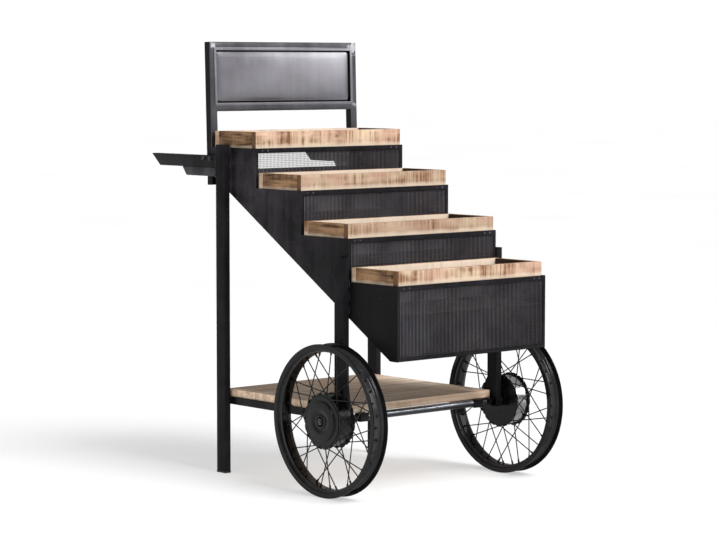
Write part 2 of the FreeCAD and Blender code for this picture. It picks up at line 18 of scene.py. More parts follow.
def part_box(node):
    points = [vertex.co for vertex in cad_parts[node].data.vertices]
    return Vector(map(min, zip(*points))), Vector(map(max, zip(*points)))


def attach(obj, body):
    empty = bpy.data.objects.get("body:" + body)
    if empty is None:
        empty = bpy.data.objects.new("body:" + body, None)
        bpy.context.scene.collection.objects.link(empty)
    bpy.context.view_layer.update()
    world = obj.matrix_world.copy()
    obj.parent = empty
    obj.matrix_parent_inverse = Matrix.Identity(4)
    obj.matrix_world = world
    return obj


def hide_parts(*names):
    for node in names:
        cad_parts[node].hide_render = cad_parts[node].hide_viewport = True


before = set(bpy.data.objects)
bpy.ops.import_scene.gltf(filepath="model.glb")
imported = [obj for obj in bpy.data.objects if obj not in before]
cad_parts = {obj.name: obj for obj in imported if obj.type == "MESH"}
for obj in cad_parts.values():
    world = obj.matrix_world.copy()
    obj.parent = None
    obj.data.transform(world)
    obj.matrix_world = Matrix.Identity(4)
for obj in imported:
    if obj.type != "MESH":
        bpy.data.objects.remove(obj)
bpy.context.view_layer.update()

log = logging.getLogger("flower_cart")

MM = 0.001
WELD_DISTANCE = 0.01 * MM
FLAT_ANGLE = math.radians(1.0)
CORNER_ANGLE = math.radians(35.0)
BOARD_CRISP = 50.0
PLATE_CRISP = 60.0
WELD_CRISP = 80.0
BEAD_END = 0.5
BEAD_DIP = 0.78
BEAD_CHANCE = 0.08
CART = "cart"
TIERS = (1, 2, 3, 4)

Triple = tuple[float, float, float]
Colour = Triple
Socket = bpy.types.NodeSocket
Amount = float | Socket
Tint = Colour | Socket
Shape = bmesh.types.BMesh


class Side(Enum):
    """Which side of the cart a piece is on, as the sign of its X."""

    LEFT = -1
    RIGHT = 1

    @property
    def word(self) -> str:
        """The side as it stands in node and body names."""
        return self.name.lower()


class Run(Enum):
    """The axis that a frame's boards follow, as its number."""

    X = 0
    Y = 1


# ------------------------------------------------------------------ shader helpers


class NodeSheet:
    """Short calls for filling one node tree."""

    def __init__(self, tree: bpy.types.NodeTree) -> None:
        """Start on a tree.

        Args:
            tree: the node tree of a material, world or group.
        """
        self.tree = tree

    def add(self, kind: str, inputs: dict | None = None, **settings) -> bpy.types.Node:
        """Add a node.

        Args:
            kind: the node's type name.
            inputs: socket names or numbers, each with a plain value or the socket to link.
            **settings: attributes to set on the node.

        Returns:
            The new node.
        """
        node = self.tree.nodes.new(kind)
        for name, value in settings.items():
            setattr(node, name, value)
        self.feed(node, inputs or {})
        return node

    def feed(self, node: bpy.types.Node, inputs: dict) -> None:
        """Fill a node's input sockets.

        Args:
            node: the node.
            inputs: socket names or numbers, each with a plain value or the socket to link.
        """
        for name, value in inputs.items():
            if isinstance(value, Socket):
                self.tree.links.new(value, node.inputs[name])
            else:
                node.inputs[name].default_value = value

    def stretch(self, vector: Socket, scale: Triple, turn: Triple = (0.0, 0.0, 0.0),
                shift: Triple = (0.0, 0.0, 0.0)) -> Socket:
        """Scale, turn and shift coordinates, so that a pattern has its real size and place."""
        return self.add("ShaderNodeMapping", {"Vector": vector, "Scale": scale,
                                              "Rotation": turn,
                                              "Location": shift}).outputs[0]

    def noise(self, vector: Socket, scale: Amount = 1.0, detail: float = 2.0,
              roughness: float = 0.5) -> Socket:
        """Smooth noise from 0 to 1."""
        return self.add("ShaderNodeTexNoise", {"Vector": vector, "Scale": scale,
                                               "Detail": detail,
                                               "Roughness": roughness}).outputs[0]

    def math(self, operation: str, first: Amount, second: Amount = 0.0,
             clamp: bool = False) -> Socket:
        """One arithmetic step."""
        return self.add("ShaderNodeMath", {0: first, 1: second}, operation=operation,
                        use_clamp=clamp).outputs[0]

    def spread(self, value: Socket, low: float, high: float, to_low: float = 0.0,
               to_high: float = 1.0) -> Socket:
        """Map low..high to to_low..to_high, held at both ends."""
        return self.add("ShaderNodeMapRange", {"Value": value, "From Min": low,
                                               "From Max": high, "To Min": to_low,
                                               "To Max": to_high}).outputs[0]

    def mix(self, factor: Socket, first: Tint, second: Tint) -> Socket:
        """Mix two colours."""
        first, second = (tint if isinstance(tint, Socket) else (*tint, 1.0)
                         for tint in (first, second))
        return self.add("ShaderNodeMix", {0: factor, 6: first, 7: second},
                        data_type="RGBA").outputs[2]

    def coordinate(self, vector: Socket, axis: str) -> Socket:
        """One coordinate of a vector: X, Y or Z."""
        return self.add("ShaderNodeSeparateXYZ", {0: vector}).outputs[axis]

    def facing(self, axis: str) -> Socket:
        """How far the surface faces along X, Y or Z, from -1 to 1."""
        return self.coordinate(self.add("ShaderNodeNewGeometry").outputs["Normal"], axis)

    def distance(self, place: Socket, target: Triple) -> Socket:
        """How far a point lies from a fixed one."""
        return self.add("ShaderNodeVectorMath", {0: place, 1: target},
                        operation="DISTANCE").outputs["Value"]

    def bands(self, place: Socket, width: float, waver: dict | None = None) -> Socket:
        """Soft bands along X, one in every width; waver holds more of the texture's inputs."""
        return self.add("ShaderNodeTexWave", {"Vector": place,
                                              "Scale": math.tau / 20.0 / width,
                                              **(waver or {})},
                        bands_direction="X").outputs["Fac"]

    def bump(self, height: Socket, strength: float, depth: float) -> Socket:
        """Surface normal of a relief that is depth high."""
        return self.add("ShaderNodeBump", {"Strength": strength, "Distance": depth,
                                           "Height": height}).outputs[0]


def shader_group(name: str, inputs: dict, outputs: dict) -> tuple:
    """Start a shader node group.

    Args:
        name: the group's name.
        inputs: input names, each with its socket type and first value.
        outputs: output names, each with its socket type.

    Returns:
        The sheet to fill, the group's input sockets, and the group's output node.
    """
    tree = bpy.data.node_groups.new(name, "ShaderNodeTree")
    for label, (kind, value) in inputs.items():
        socket = tree.interface.new_socket(label, in_out="INPUT", socket_type=kind)
        if value is not None:
            socket.default_value = value
    for label, kind in outputs.items():
        tree.interface.new_socket(label, in_out="OUTPUT", socket_type=kind)
    sheet = NodeSheet(tree)
    return sheet, sheet.add("NodeGroupInput").outputs, sheet.add("NodeGroupOutput")


def patina_group() -> bpy.types.NodeTree:
    """Cloudy patches, rubbed specks and a faint relief on steel, as masks and a height."""
    floats = "NodeSocketFloat"
    sheet, given, result = shader_group(
        "steel_patina",
        {"Vector": ("NodeSocketVector", None), "Patch Scale": (floats, 9.0),
         "Speck Scale": (floats, 160.0), "Streaks": (floats, 0.5)},
        {"Patches": floats, "Specks": floats, "Height": floats})
    clouds = sheet.noise(given["Vector"], given["Patch Scale"], 5.0, 0.62)
    runs = sheet.noise(sheet.stretch(given["Vector"], (34.0, 34.0, 3.0)), 1.0, 3.0)
    runs = sheet.math("MULTIPLY", sheet.math("SUBTRACT", runs, 0.5), given["Streaks"])
    patches = sheet.spread(sheet.math("ADD", clouds, runs), 0.36, 0.72)
    dots = sheet.noise(given["Vector"], given["Speck Scale"], 3.0, 0.7)
    gate = sheet.spread(sheet.noise(given["Vector"], 22.0, 2.0), 0.48, 0.66)
    specks = sheet.math("MULTIPLY", sheet.spread(dots, 0.6, 0.74), gate)
    relief = sheet.math("ADD", sheet.math("MULTIPLY", clouds, 0.8),
                        sheet.math("MULTIPLY", dots, 0.2))
    sheet.feed(result, {"Patches": patches, "Specks": specks, "Height": relief})
    return sheet.tree


def sawn_wood_group() -> bpy.types.NodeTree:
    """Sawn softwood, X along the board: saw marks across, grain along, patches and knots."""
    colours, floats = "NodeSocketColor", "NodeSocketFloat"
    sheet, given, result = shader_group(
        "sawn_wood",
        {"Vector": ("NodeSocketVector", None), "Light": (colours, (1, 1, 1, 1)),
         "Blush": (colours, (1, 1, 1, 1)), "Dark": (colours, (0, 0, 0, 1)),
         "Knot": (colours, (0, 0, 0, 1)), "Saw": (floats, 1.0), "Grain": (floats, 0.5)},
        {"Color": colours, "Height": floats, "Tone": floats})
    vector = given["Vector"]
    fine_saw = sheet.noise(sheet.stretch(vector, (120.0, 6.0, 6.0)), 1.0, 3.0, 0.6)
    broad_saw = sheet.noise(sheet.stretch(vector, (42.0, 4.0, 4.0)), 1.0, 2.0)
    grain = sheet.noise(sheet.stretch(vector, (5.0, 60.0, 60.0)), 1.0, 4.0, 0.6)
    patches = sheet.noise(sheet.stretch(vector, (10.0, 14.0, 26.0)), 1.0, 3.0)
    blush = sheet.spread(sheet.noise(sheet.stretch(vector, (9.0, 3.0, 12.0)), 1.0, 1.0),
                         0.42, 0.62)
    cut = sheet.math("ADD", sheet.spread(fine_saw, 0.44, 0.62),
                     sheet.spread(broad_saw, 0.42, 0.72))
    cut = sheet.math("MULTIPLY", cut, sheet.spread(patches, 0.34, 0.6))
    cut = sheet.math("MULTIPLY", cut, given["Saw"])
    along = sheet.math("MULTIPLY", sheet.spread(grain, 0.42, 0.74), given["Grain"])
    tone = sheet.math("MULTIPLY", sheet.math("ADD", cut, along), 0.62, clamp=True)
    cells = sheet.add("ShaderNodeTexVoronoi",
                      {"Vector": sheet.stretch(vector, (10.0, 17.0, 17.0)), "Scale": 1.0})
    knots = sheet.math("MULTIPLY", sheet.spread(cells.outputs["Distance"], 0.16, 0.07),
                       sheet.spread(sheet.noise(sheet.stretch(vector, (4.0, 9.0, 9.0)), 1.0,
                                                0.0), 0.54, 0.6))
    colour = sheet.mix(blush, given["Light"], given["Blush"])
    colour = sheet.mix(tone, colour, given["Dark"])
    colour = sheet.mix(knots, colour, given["Knot"])
    height = sheet.math("ADD", sheet.math("MULTIPLY", fine_saw, 0.6),
                        sheet.math("MULTIPLY", grain, 0.4))
    sheet.feed(result, {"Color": colour, "Height": height, "Tone": tone})
    return sheet.tree


PATINA = patina_group()
SAWN_WOOD = sawn_wood_group()


def blank_material(name: str) -> tuple[bpy.types.Material, NodeSheet, bpy.types.Node, Socket]:
    """A new material.

    Args:
        name: the material's name.

    Returns:
        The material, its sheet, the shader node and the Object coordinates.
    """
    material = bpy.data.materials.new(name)
    material.use_nodes = True
    sheet = NodeSheet(material.node_tree)
    shader = material.node_tree.nodes["Principled BSDF"]
    coordinates = sheet.add("ShaderNodeTexCoord").outputs["Object"]
    return material, sheet, shader, coordinates


# ------------------------------------------------------------------ finishes


@dataclass(frozen=True)
class DarkSteel:
    """Blackened or painted steel with cloudy patches and rubbed specks.

    Before the depth dark_before the patches fade out, over dark_reach. channel is a grey
    painted into the rims' tyre channels as painted sheen, and glint is how much brighter the
    specks are than rubbed steel.
    """

    name: str
    colour: Colour
    rubbed: Colour
    roughness: float = 0.42
    metallic: float = 0.0
    specular: float = 0.5
    patches: float = 0.5
    specks: float = 0.3
    relief: float = 0.12
    patch_scale: float = 9.0
    dark_before: float | None = None
    dark_reach: float = 0.12
    channel: Colour | None = None
    glint: float = 3.2
    relief_height: float = 1.5 * MM

    def material(self) -> bpy.types.Material:
        """Build the material."""
        material, sheet, shader, place = blank_material(self.name)
        patina = sheet.add("ShaderNodeGroup", {"Vector": place,
                                               "Patch Scale": self.patch_scale},
                           node_tree=PATINA).outputs
        tone = sheet.math("MULTIPLY", patina["Patches"], self.patches)
        if self.dark_before is not None:
            behind = sheet.spread(sheet.coordinate(place, "Y"), self.dark_before,
                                  self.dark_before + self.dark_reach)
            tone = sheet.math("MULTIPLY", tone, behind)
        colour = sheet.mix(tone, self.colour, self.rubbed)
        # Painted sheen: the rims' tyre channels are greyed to stand in for the light on them,
        # mottled by the patches.
        if self.channel is not None:
            dust_and_sheen = sheet.math("MULTIPLY", self.in_channel(sheet, place),
                              sheet.spread(patina["Patches"], 0.0, 1.0, 0.55, 1.0))
            colour = sheet.mix(dust_and_sheen, colour, self.channel)
        bright = tuple(min(1.0, self.glint * part) for part in self.rubbed)
        colour = sheet.mix(sheet.math("MULTIPLY", patina["Specks"], self.specks), colour,
                           bright)
        rough = sheet.spread(patina["Patches"], 0.0, 1.0, self.roughness - 0.07,
                             self.roughness + 0.09)
        sheet.feed(shader, {"Base Color": colour, "Roughness": rough,
                            "Metallic": self.metallic, "Specular IOR Level": self.specular,
                            "Normal": sheet.bump(patina["Height"], self.relief,
                                                 self.relief_height)})
        return material

    @staticmethod
    def in_channel(sheet: NodeSheet, place: Socket) -> Socket:
        """Mask of the rims' tyre channels, which get a painted sheen.

        Args:
            sheet: the material's sheet.
            place: the Object coordinates.

        Returns:
            1 between a rim's lips on its outer side, 0 elsewhere.
        """
        low, high = corners_of("rim_right")
        middle = (low + high) / 2
        beside = sheet.math("SUBTRACT", sheet.math("ABSOLUTE", sheet.coordinate(place, "X")),
                            middle.x)
        across = sheet.math("ABSOLUTE", beside)
        arm = sheet.distance(sheet.stretch(place, (0.0, 1.0, 1.0)),
                             (0.0, middle.y, middle.z))
        radius, half = middle.z, middle.x - low.x
        floor = radius - 25.0 * MM
        return sheet.math("MULTIPLY", sheet.spread(arm, floor, floor + 0.8 * MM),
                          sheet.spread(across, half - 4.0 * MM, half - 6.0 * MM))


@dataclass(frozen=True)
class BareSteel:
    """Bare steel with smears and dull patches; painted shade makes it black where it doesn't
    look forward.

    spots are places, each with its reach, where a weld was ground bright. Below the height
    dark_below everything is black. wiped says how far the sign's upper right part is lightened
    towards a paler colour: a painted reflection of the light.
    """

    name: str
    colour: Colour
    smear: Colour
    dark: Colour = (0.004, 0.004, 0.0045)
    bright: Colour = (0.5, 0.5, 0.53)
    # Painted reflection: the upper right part is lightened towards this colour by the amount
    # below.
    clean: Colour = (0.5, 0.49, 0.52)
    painted_sheen: float = 0.0
    roughness: float = 0.38
    streaks: float = 0.3
    spots: tuple[tuple[Triple, float], ...] = ()
    dark_below: float = 0.0

    def material(self) -> bpy.types.Material:
        """Build the material."""
        material, sheet, shader, place = blank_material(self.name)
        patina = sheet.add("ShaderNodeGroup", {"Vector": place, "Patch Scale": 6.0,
                                               "Streaks": self.streaks},
                           node_tree=PATINA).outputs
        height = sheet.coordinate(place, "Z")
        # Painted reflection: the steel grows lighter towards the upper right, as if it
        # reflected the light there.
        sheen_mask = sheet.math("MULTIPLY", sheet.spread(sheet.coordinate(place, "X"), -0.12, 0.3),
                          sheet.spread(height, 1.25, 1.38, 0.0, self.painted_sheen))
        colour = sheet.mix(patina["Patches"], self.colour, self.smear)
        colour = sheet.mix(sheen_mask, colour, self.clean)
        for spot, reach in self.spots:
            core = 0.4 * reach
            ragged = sheet.math("ADD", sheet.distance(place, spot),
                                sheet.spread(sheet.noise(place, 90.0, 2.0), 0.3, 0.7, -core,
                                             core))
            colour = sheet.mix(sheet.spread(ragged, reach, core), colour, self.bright)
        # Painted shade: faces that don't look forward get the near-black colour and no metal;
        # below dark_below all faces are black.
        forward_and_high = sheet.math("MULTIPLY", sheet.spread(sheet.facing("Y"), -0.35, -0.75),
                          sheet.spread(height, self.dark_below, self.dark_below + 15 * MM))
        lines = sheet.noise(sheet.stretch(place, (5.0, 220.0, 220.0)), 1.0, 3.0)
        rough = sheet.math("ADD", sheet.spread(patina["Patches"], 0.0, 1.0,
                                               self.roughness - 0.06, self.roughness + 0.1),
                           sheet.spread(lines, 0.3, 0.7, -0.03, 0.03))
        sheet.feed(shader, {"Base Color": sheet.mix(forward_and_high, self.dark, colour),
                            "Roughness": rough, "Metallic": forward_and_high,
                            "Specular IOR Level": 0.12,
                            "Normal": sheet.bump(lines, 0.06, 0.4 * MM)})
        return material


@dataclass(frozen=True)
class PolishedSteel:
    """Bright turned steel, with fine rings or a thread along X.

    pitch and depth are those of the rings, and grease, if given, is the darker colour painted
    on
    its downward faces: a painted dark reflection.
    """

    name: str
    colour: Colour
    roughness: float
    pitch: float
    depth: float
    underside_shade: Colour | None = None

    def material(self) -> bpy.types.Material:
        """Build the material."""
        material, sheet, shader, place = blank_material(self.name)
        rings = sheet.bands(place, self.pitch)
        smears = sheet.noise(place, 30.0, 4.0)
        dull = tuple(0.55 * part for part in self.colour)
        colour = sheet.mix(sheet.spread(smears, 0.45, 0.75, 0.0, 0.6), self.colour, dull)
        # Painted dark reflection: faces that look down are darkened.
        if self.underside_shade is not None:
            colour = sheet.mix(sheet.spread(sheet.facing("Z"), 0.35, -0.1), colour,
                               self.underside_shade)
        sheet.feed(shader, {"Base Color": colour, "Metallic": 1.0,
                            "Roughness": sheet.spread(smears, 0.3, 0.8, self.roughness,
                                                      self.roughness + 0.15),
                            "Normal": sheet.bump(rings, 0.6, self.depth)})
        return material


@dataclass(frozen=True)
class WireSteel:
    """Drawn wire, dull with clean and brownish stretches.

    run is the distance over which it grows brighter and duller again, about three uprights.
    """

    name: str
    dull: Colour
    clean: Colour
    brown: Colour
    run: float = 17.4 * MM

    def material(self) -> bpy.types.Material:
        """Build the material."""
        material, sheet, shader, place = blank_material(self.name)
        runs = sheet.bands(place, self.run, {"Distortion": 1.2, "Detail": 1.0,
                                             "Detail Scale": 0.6})
        clouds = sheet.noise(place, 9.0, 4.0)
        hue = sheet.spread(sheet.noise(sheet.stretch(place, (7.0, 7.0, 11.0)), 1.0, 2.0),
                           0.38, 0.62)
        share = sheet.math("ADD", sheet.math("MULTIPLY", runs, 0.3),
                           sheet.spread(clouds, 0.35, 0.7, 0.0, 0.7), clamp=True)
        colour = sheet.mix(share, self.dull, sheet.mix(hue, self.clean, self.brown))
        sheet.feed(shader, {"Base Color": colour,
                            "Roughness": sheet.spread(clouds, 0.3, 0.7, 0.38, 0.55),
                            "Metallic": 0.3, "Specular IOR Level": 0.3})
        return material


@dataclass(frozen=True)
class Plastic:
    """Moulded black plastic with a fine spark-eroded grain."""

    name: str
    colour: Colour
    dust_and_sheen: Colour = (0.09, 0.085, 0.08)

    def material(self) -> bpy.types.Material:
        """Build the material."""
        material, sheet, shader, place = blank_material(self.name)
        dusty = sheet.spread(sheet.noise(place, 40.0, 3.0), 0.45, 0.8, 0.0, 0.5)
        grain = sheet.noise(place, 1400.0, 2.0)
        sheet.feed(shader, {"Base Color": sheet.mix(dusty, self.colour, self.dust_and_sheen),
                            "Roughness": 0.6, "Normal": sheet.bump(grain, 0.3, 0.1 * MM)})
        return material


@dataclass(frozen=True)
class SawnWood:
    """Rough-sawn boards that follow one axis.

    Below the height pale_below they are paler. end_grain_and_inner_light is half the length of
    the long boards
    and the depth between them: the front board's tips are dark there, and the back board's
    inner face is made pale, painted light on the face that the light falls on.
    painted_shade_inside darkens the inner face of the right side board with painted shade.
    shift gives a board its own part of the pattern, and drawn_out lengthens its grain.
    """

    name: str
    along: Run
    light: Colour = (0.64, 0.48, 0.33)
    blush: Colour = (0.56, 0.36, 0.26)
    dark: Colour = (0.2, 0.095, 0.042)
    knot: Colour = (0.1, 0.045, 0.02)
    pale_band: Colour = (0.8, 0.66, 0.51)
    tip: Colour = (0.13, 0.065, 0.03)
    # Painted light: the pale colour of the back board's inner face.
    inner: Colour = (0.84, 0.7, 0.56)
    # Painted shade: the dark colour of the right side board's inner face.
    inside_shade: Colour = (0.022, 0.012, 0.006)
    saw: float = 1.15
    grain: float = 0.4
    relief: float = 0.35
    pale_below: float | None = None
    end_grain_and_inner_light: tuple[float, float] | None = None
    shift: Triple = (0.0, 0.0, 0.0)
    drawn_out: float = 1.0
    painted_shade_inside: bool = False

    def material(self) -> bpy.types.Material:
        """Build the material."""
        material, sheet, shader, place = blank_material(self.name)
        turn = (0.0, 0.0, math.pi / 2 if self.along is Run.Y else 0.0)
        tints = {"Light": self.light, "Blush": self.blush, "Dark": self.dark,
                 "Knot": self.knot}
        wood = sheet.add("ShaderNodeGroup",
                         {"Vector": sheet.stretch(place, (1.0 / self.drawn_out, 1.0, 1.0),
                                                  turn, self.shift),
                          "Saw": self.saw, "Grain": self.grain,
                          **{label: (*tint, 1.0) for label, tint in tints.items()}},
                         node_tree=SAWN_WOOD).outputs
        colour = wood["Color"]
        if self.pale_below is not None:
            ragged = sheet.noise(sheet.stretch(place, (22.0, 22.0, 8.0)), 1.0, 2.0)
            edge = sheet.math("ADD", sheet.coordinate(place, "Z"),
                              sheet.spread(ragged, 0.0, 1.0, -6 * MM, 6 * MM))
            fade = sheet.spread(edge, self.pale_below + 15 * MM, self.pale_below + 3 * MM,
                                0.0, 0.75)
            colour = sheet.mix(fade, colour, self.pale_band)
        if self.end_grain_and_inner_light is not None:
            half, middle = self.end_grain_and_inner_light
            reach = sheet.math("ABSOLUTE", sheet.coordinate(place, "X"))
            depth = sheet.coordinate(place, "Y")
            tip = sheet.math("MULTIPLY", sheet.spread(reach, half - 1.2 * MM, half - 0.6 * MM),
                             sheet.spread(depth, middle, middle - 2 * MM))
            colour = sheet.mix(tip, colour, self.tip)
            # Painted light: the back board's inner face, which the light falls on, is made
            # pale.
            inner = sheet.math("MULTIPLY", sheet.spread(sheet.facing("Y"), -0.4, -0.8),
                               sheet.spread(depth, middle, middle + 2 * MM, 0.0, 0.7))
            colour = sheet.mix(inner, colour, self.inner)
        # Painted shade: the right side board's inner face is darkened.
        if self.painted_shade_inside:
            inside_shade = sheet.math("MULTIPLY", sheet.spread(sheet.facing("X"), -0.4, -0.8),
                               sheet.spread(sheet.coordinate(place, "X"), 0.0, 50 * MM, 0.0,
                                            0.9))
            colour = sheet.mix(inside_shade, colour, self.inside_shade)
        sheet.feed(shader, {"Base Color": colour,
                            "Roughness": sheet.spread(wood["Tone"], 0.0, 1.0, 0.62, 0.8),
                            "Specular IOR Level": 0.25,
                            "Normal": sheet.bump(wood["Height"], self.relief, 0.6 * MM)})
        return material


class Finishes:
    """The materials of the cart; those of one tier are built when that tier asks for them."""

    sign_front = 0.322
    upper_wire_tone = 1.25
    board_tones = {1: 0.95, 2: 0.76, 3: 0.84, 4: 1.15}

    def __init__(self) -> None:
        """Build the materials that several pieces or both sides share."""
        corners = tuple(((x, self.sign_front, z), reach) for x, z, reach in
                        ((0.31, 1.415, 0.03), (-0.305, 1.42, 0.014), (0.31, 1.215, 0.013)))
        self.panel = DarkSteel("panel_steel", (0.003, 0.0024, 0.003), (0.056, 0.047, 0.057),
                               roughness=0.45, specular=0.1, patches=0.9, specks=0.35,
                               dark_before=-0.45, dark_reach=0.6).material()
        self.front = DarkSteel("front_steel", (0.0055, 0.005, 0.006), (0.018, 0.0162, 0.0192),
                               roughness=0.42, specular=0.1, patches=0.9,
                               specks=0.35).material()
        # Painted shade: the sheets inside the bins are near-black and dull, without rubbed
        # patches.
        self.inside = DarkSteel("inner_steel", (0.003, 0.003, 0.003), (0.007, 0.0065, 0.007),
                                roughness=0.7, specular=0.1, patches=0.6,
                                specks=0.1).material()
        self.tube = DarkSteel("tube_steel", (0.0025, 0.0022, 0.0028), (0.024, 0.021, 0.026),
                              roughness=0.33, specular=0.12, patches=0.6,
                              specks=0.3).material()
        self.leg = DarkSteel("leg_steel", (0.01, 0.0093, 0.0103), (0.024, 0.0225, 0.025),
                             roughness=0.4, specular=0.03, patches=0.8,
                             specks=0.25).material()
        # Painted light: the braces get a lighter copy of the tube steel.
        self.brace = DarkSteel("brace_steel", (0.021, 0.0198, 0.023), (0.084, 0.079, 0.092),
                               roughness=0.36, specular=0.14, patches=0.8,
                               specks=0.3).material()
        self.weld = DarkSteel("weld_steel", (0.012, 0.0115, 0.0125), (0.05, 0.046, 0.05),
                              roughness=0.4, specular=0.3, patches=0.8, specks=0.8,
                              patch_scale=80.0).material()
        self.rivet = DarkSteel("rivet_steel", (0.03, 0.03, 0.032), (0.14, 0.14, 0.147),
                               roughness=0.3, metallic=0.6, patches=0.9, specks=0.6,
                               patch_scale=60.0).material()
        self.weft = WireSteel("weft_steel", (0.02, 0.019, 0.021), (0.045, 0.043, 0.05),
                              (0.05, 0.043, 0.045)).material()
        # Sign and strips carry a painted reflection on their upper right parts.
        self.sign = BareSteel("sign_steel", (0.215, 0.21, 0.23), (0.155, 0.15, 0.165),
                              painted_sheen=0.8).material()
        self.strip = BareSteel("strip_steel", (0.23, 0.225, 0.245), (0.16, 0.156, 0.171),
                               painted_sheen=0.3, spots=corners).material()
        self.sign_frame = BareSteel("sign_frame_steel", (0.11, 0.107, 0.118),
                                    (0.065, 0.063, 0.07), roughness=0.42, spots=corners,
                                    dark_below=1.05).material()
        # Painted shade: the near-black sheet behind the sign plate makes the dark groove round
        # it.
        self.groove_shade = DarkSteel("groove_steel", (0.004, 0.004, 0.0045), (0.01, 0.01, 0.011),
                                roughness=0.6, specular=0.1).material()
        self.bright = PolishedSteel("bright_steel", (0.82, 0.82, 0.84), 0.12, 0.9 * MM,
                                    0.01 * MM).material()
        # Axle tube and drum band have a painted dark reflection on their downward faces.
        self.axle = PolishedSteel("axle_steel", (0.4, 0.42, 0.46), 0.24, 0.9 * MM,
                                  0.004 * MM, underside_shade=(0.035, 0.036, 0.04)).material()
        self.band = PolishedSteel("band_steel", (0.85, 0.85, 0.87), 0.14, 0.9 * MM,
                                  0.004 * MM, underside_shade=(0.2, 0.2, 0.21)).material()
        self.rod = PolishedSteel("rod_steel", (0.09, 0.088, 0.088), 0.34, 1.75 * MM,
                                 0.5 * MM).material()
        self.zinc = PolishedSteel("zinc_steel", (0.13, 0.13, 0.14), 0.36, 0.7 * MM,
                                  0.01 * MM).material()
        # The rim's channel grey is painted sheen.
        self.rim = DarkSteel("rim_paint", (0.002, 0.002, 0.0022), (0.008, 0.008, 0.0085),
                             roughness=0.16, specular=0.2, patches=0.6, specks=0.2,
                             relief=0.04, channel=(0.04, 0.038, 0.041)).material()
        self.hub = DarkSteel("hub_paint", (0.002, 0.002, 0.002), (0.008, 0.008, 0.0085),
                             roughness=0.28, specular=0.22, patches=0.5, specks=0.2,
                             relief=0.06, patch_scale=40.0).material()
        self.spoke = DarkSteel("spoke_steel", (0.01, 0.01, 0.01), (0.04, 0.038, 0.036),
                               roughness=0.35, metallic=0.4, specular=0.3,
                               relief=0.0).material()
        self.plastic = Plastic("foot_plastic", (0.018, 0.018, 0.018)).material()
        self.shelf = SawnWood("shelf_wood", Run.X, light=(0.95, 0.78, 0.62),
                              blush=(0.86, 0.64, 0.47), dark=(0.3, 0.17, 0.08), saw=0.3,
                              grain=0.95, relief=0.15, drawn_out=3.5).material()

    @staticmethod
    def toned(tone: float, tint: Colour) -> Colour:
        """A colour made brighter or darker."""
        return tuple(tone * part for part in tint)

    def wire(self, tier: int) -> bpy.types.Material:
        """Upright wires of one bin's cloth, brighter in the three upper bins."""
        tone = 1.0 if tier == 1 else self.upper_wire_tone
        return WireSteel(f"wire_steel_{tier}", self.toned(tone, (0.09, 0.083, 0.093)),
                         self.toned(tone, (0.215, 0.206, 0.236)),
                         self.toned(tone, (0.24, 0.207, 0.215))).material()

    def box_wood(self, tier: int, along: Run, rim: float) -> bpy.types.Material:
        """Wood of one loose frame, paler just above its bin's rim.

        Args:
            tier: the bin's number.
            along: the axis that the boards follow.
            rim: height of the bin's rim.

        Returns:
            Sawn across for the long boards; for the side boards darker, browner tints that are
            painted shade, and plain grain.
        """
        name = f"box_wood_{tier}_{along.name.lower()}"
        if along is Run.Y:
            # Painted shade: the side boards' dark tints stand for the shade on the faces away
            # from the light.
            return SawnWood(name, along, light=(0.35, 0.2, 0.098), blush=(0.245, 0.133, 0.06),
                            dark=(0.046, 0.021, 0.01), saw=0.5, grain=2.1, painted_shade_inside=True,
                            pale_below=rim - 5 * MM,
                            shift=(2.3 * tier, 0.0, 0.4 * tier)).material()
        tone = self.board_tones[tier]
        low, high = corners_of(f"box_long_boards_{tier}")
        return SawnWood(name, along, light=self.toned(tone, SawnWood.light),
                        blush=self.toned(tone, SawnWood.blush), pale_below=rim,
                        shift=(1.7 * tier, 0.0, 0.0),
                        end_grain_and_inner_light=(high.x, (low.y + high.y) / 2)).material()


# ------------------------------------------------------------------ mesh helpers


def corners_of(node: str) -> tuple[Vector, Vector]:
    """Lowest and highest corner of a CAD node's box."""
    low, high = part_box(node)
    return Vector(low), Vector(high)


def all_of(shape: Shape) -> list:
    """Every corner, edge and face of a shape."""
    return shape.verts[:] + shape.edges[:] + shape.faces[:]


def move(shape: Shape, step: Vector | Triple) -> None:
    """Move a whole shape."""
    bmesh.ops.translate(shape, vec=step, verts=shape.verts)


def turn(shape: Shape, angle: float, axis: str, centre: Triple = (0.0, 0.0, 0.0)) -> None:
    """Turn a whole shape about a line through a point."""
    bmesh.ops.rotate(shape, cent=centre, verts=shape.verts,
                     matrix=Matrix.Rotation(angle, 3, axis))


def slice_at(shape: Shape, axis: int, place: float) -> None:
    """Cut new edges across a shape, square to an axis, without parting it."""
    point, normal = Vector((0, 0, 0)), Vector((0, 0, 0))
    point[axis], normal[axis] = place, 1.0
    bmesh.ops.bisect_plane(shape, geom=all_of(shape), plane_co=point, plane_no=normal)


def pull_loop(shape: Shape, loop: list) -> tuple[list, list]:
    """Extrude a loop of edges on the spot.

    Args:
        shape: the mesh to change.
        loop: the edges.

    Returns:
        The new corners and the new loop.
    """
    made = bmesh.ops.extrude_edge_only(shape, edges=loop)["geom"]
    return ([part for part in made if isinstance(part, bmesh.types.BMVert)],
            [part for part in made if isinstance(part, bmesh.types.BMEdge)])


def close_loop(shape: Shape, loop: list) -> None:
    """Cap the last open loop of a shape and turn its faces outwards."""
    bmesh.ops.contextual_create(shape, geom=loop)
    bmesh.ops.recalc_face_normals(shape, faces=shape.faces)


def box_shape(low: Vector, high: Vector) -> Shape:
    """A box between two corners."""
    shape = bmesh.new()
    bmesh.ops.create_cube(shape, size=1.0)
    bmesh.ops.scale(shape, vec=high - low, verts=shape.verts)
    move(shape, (low + high) / 2)
    return shape


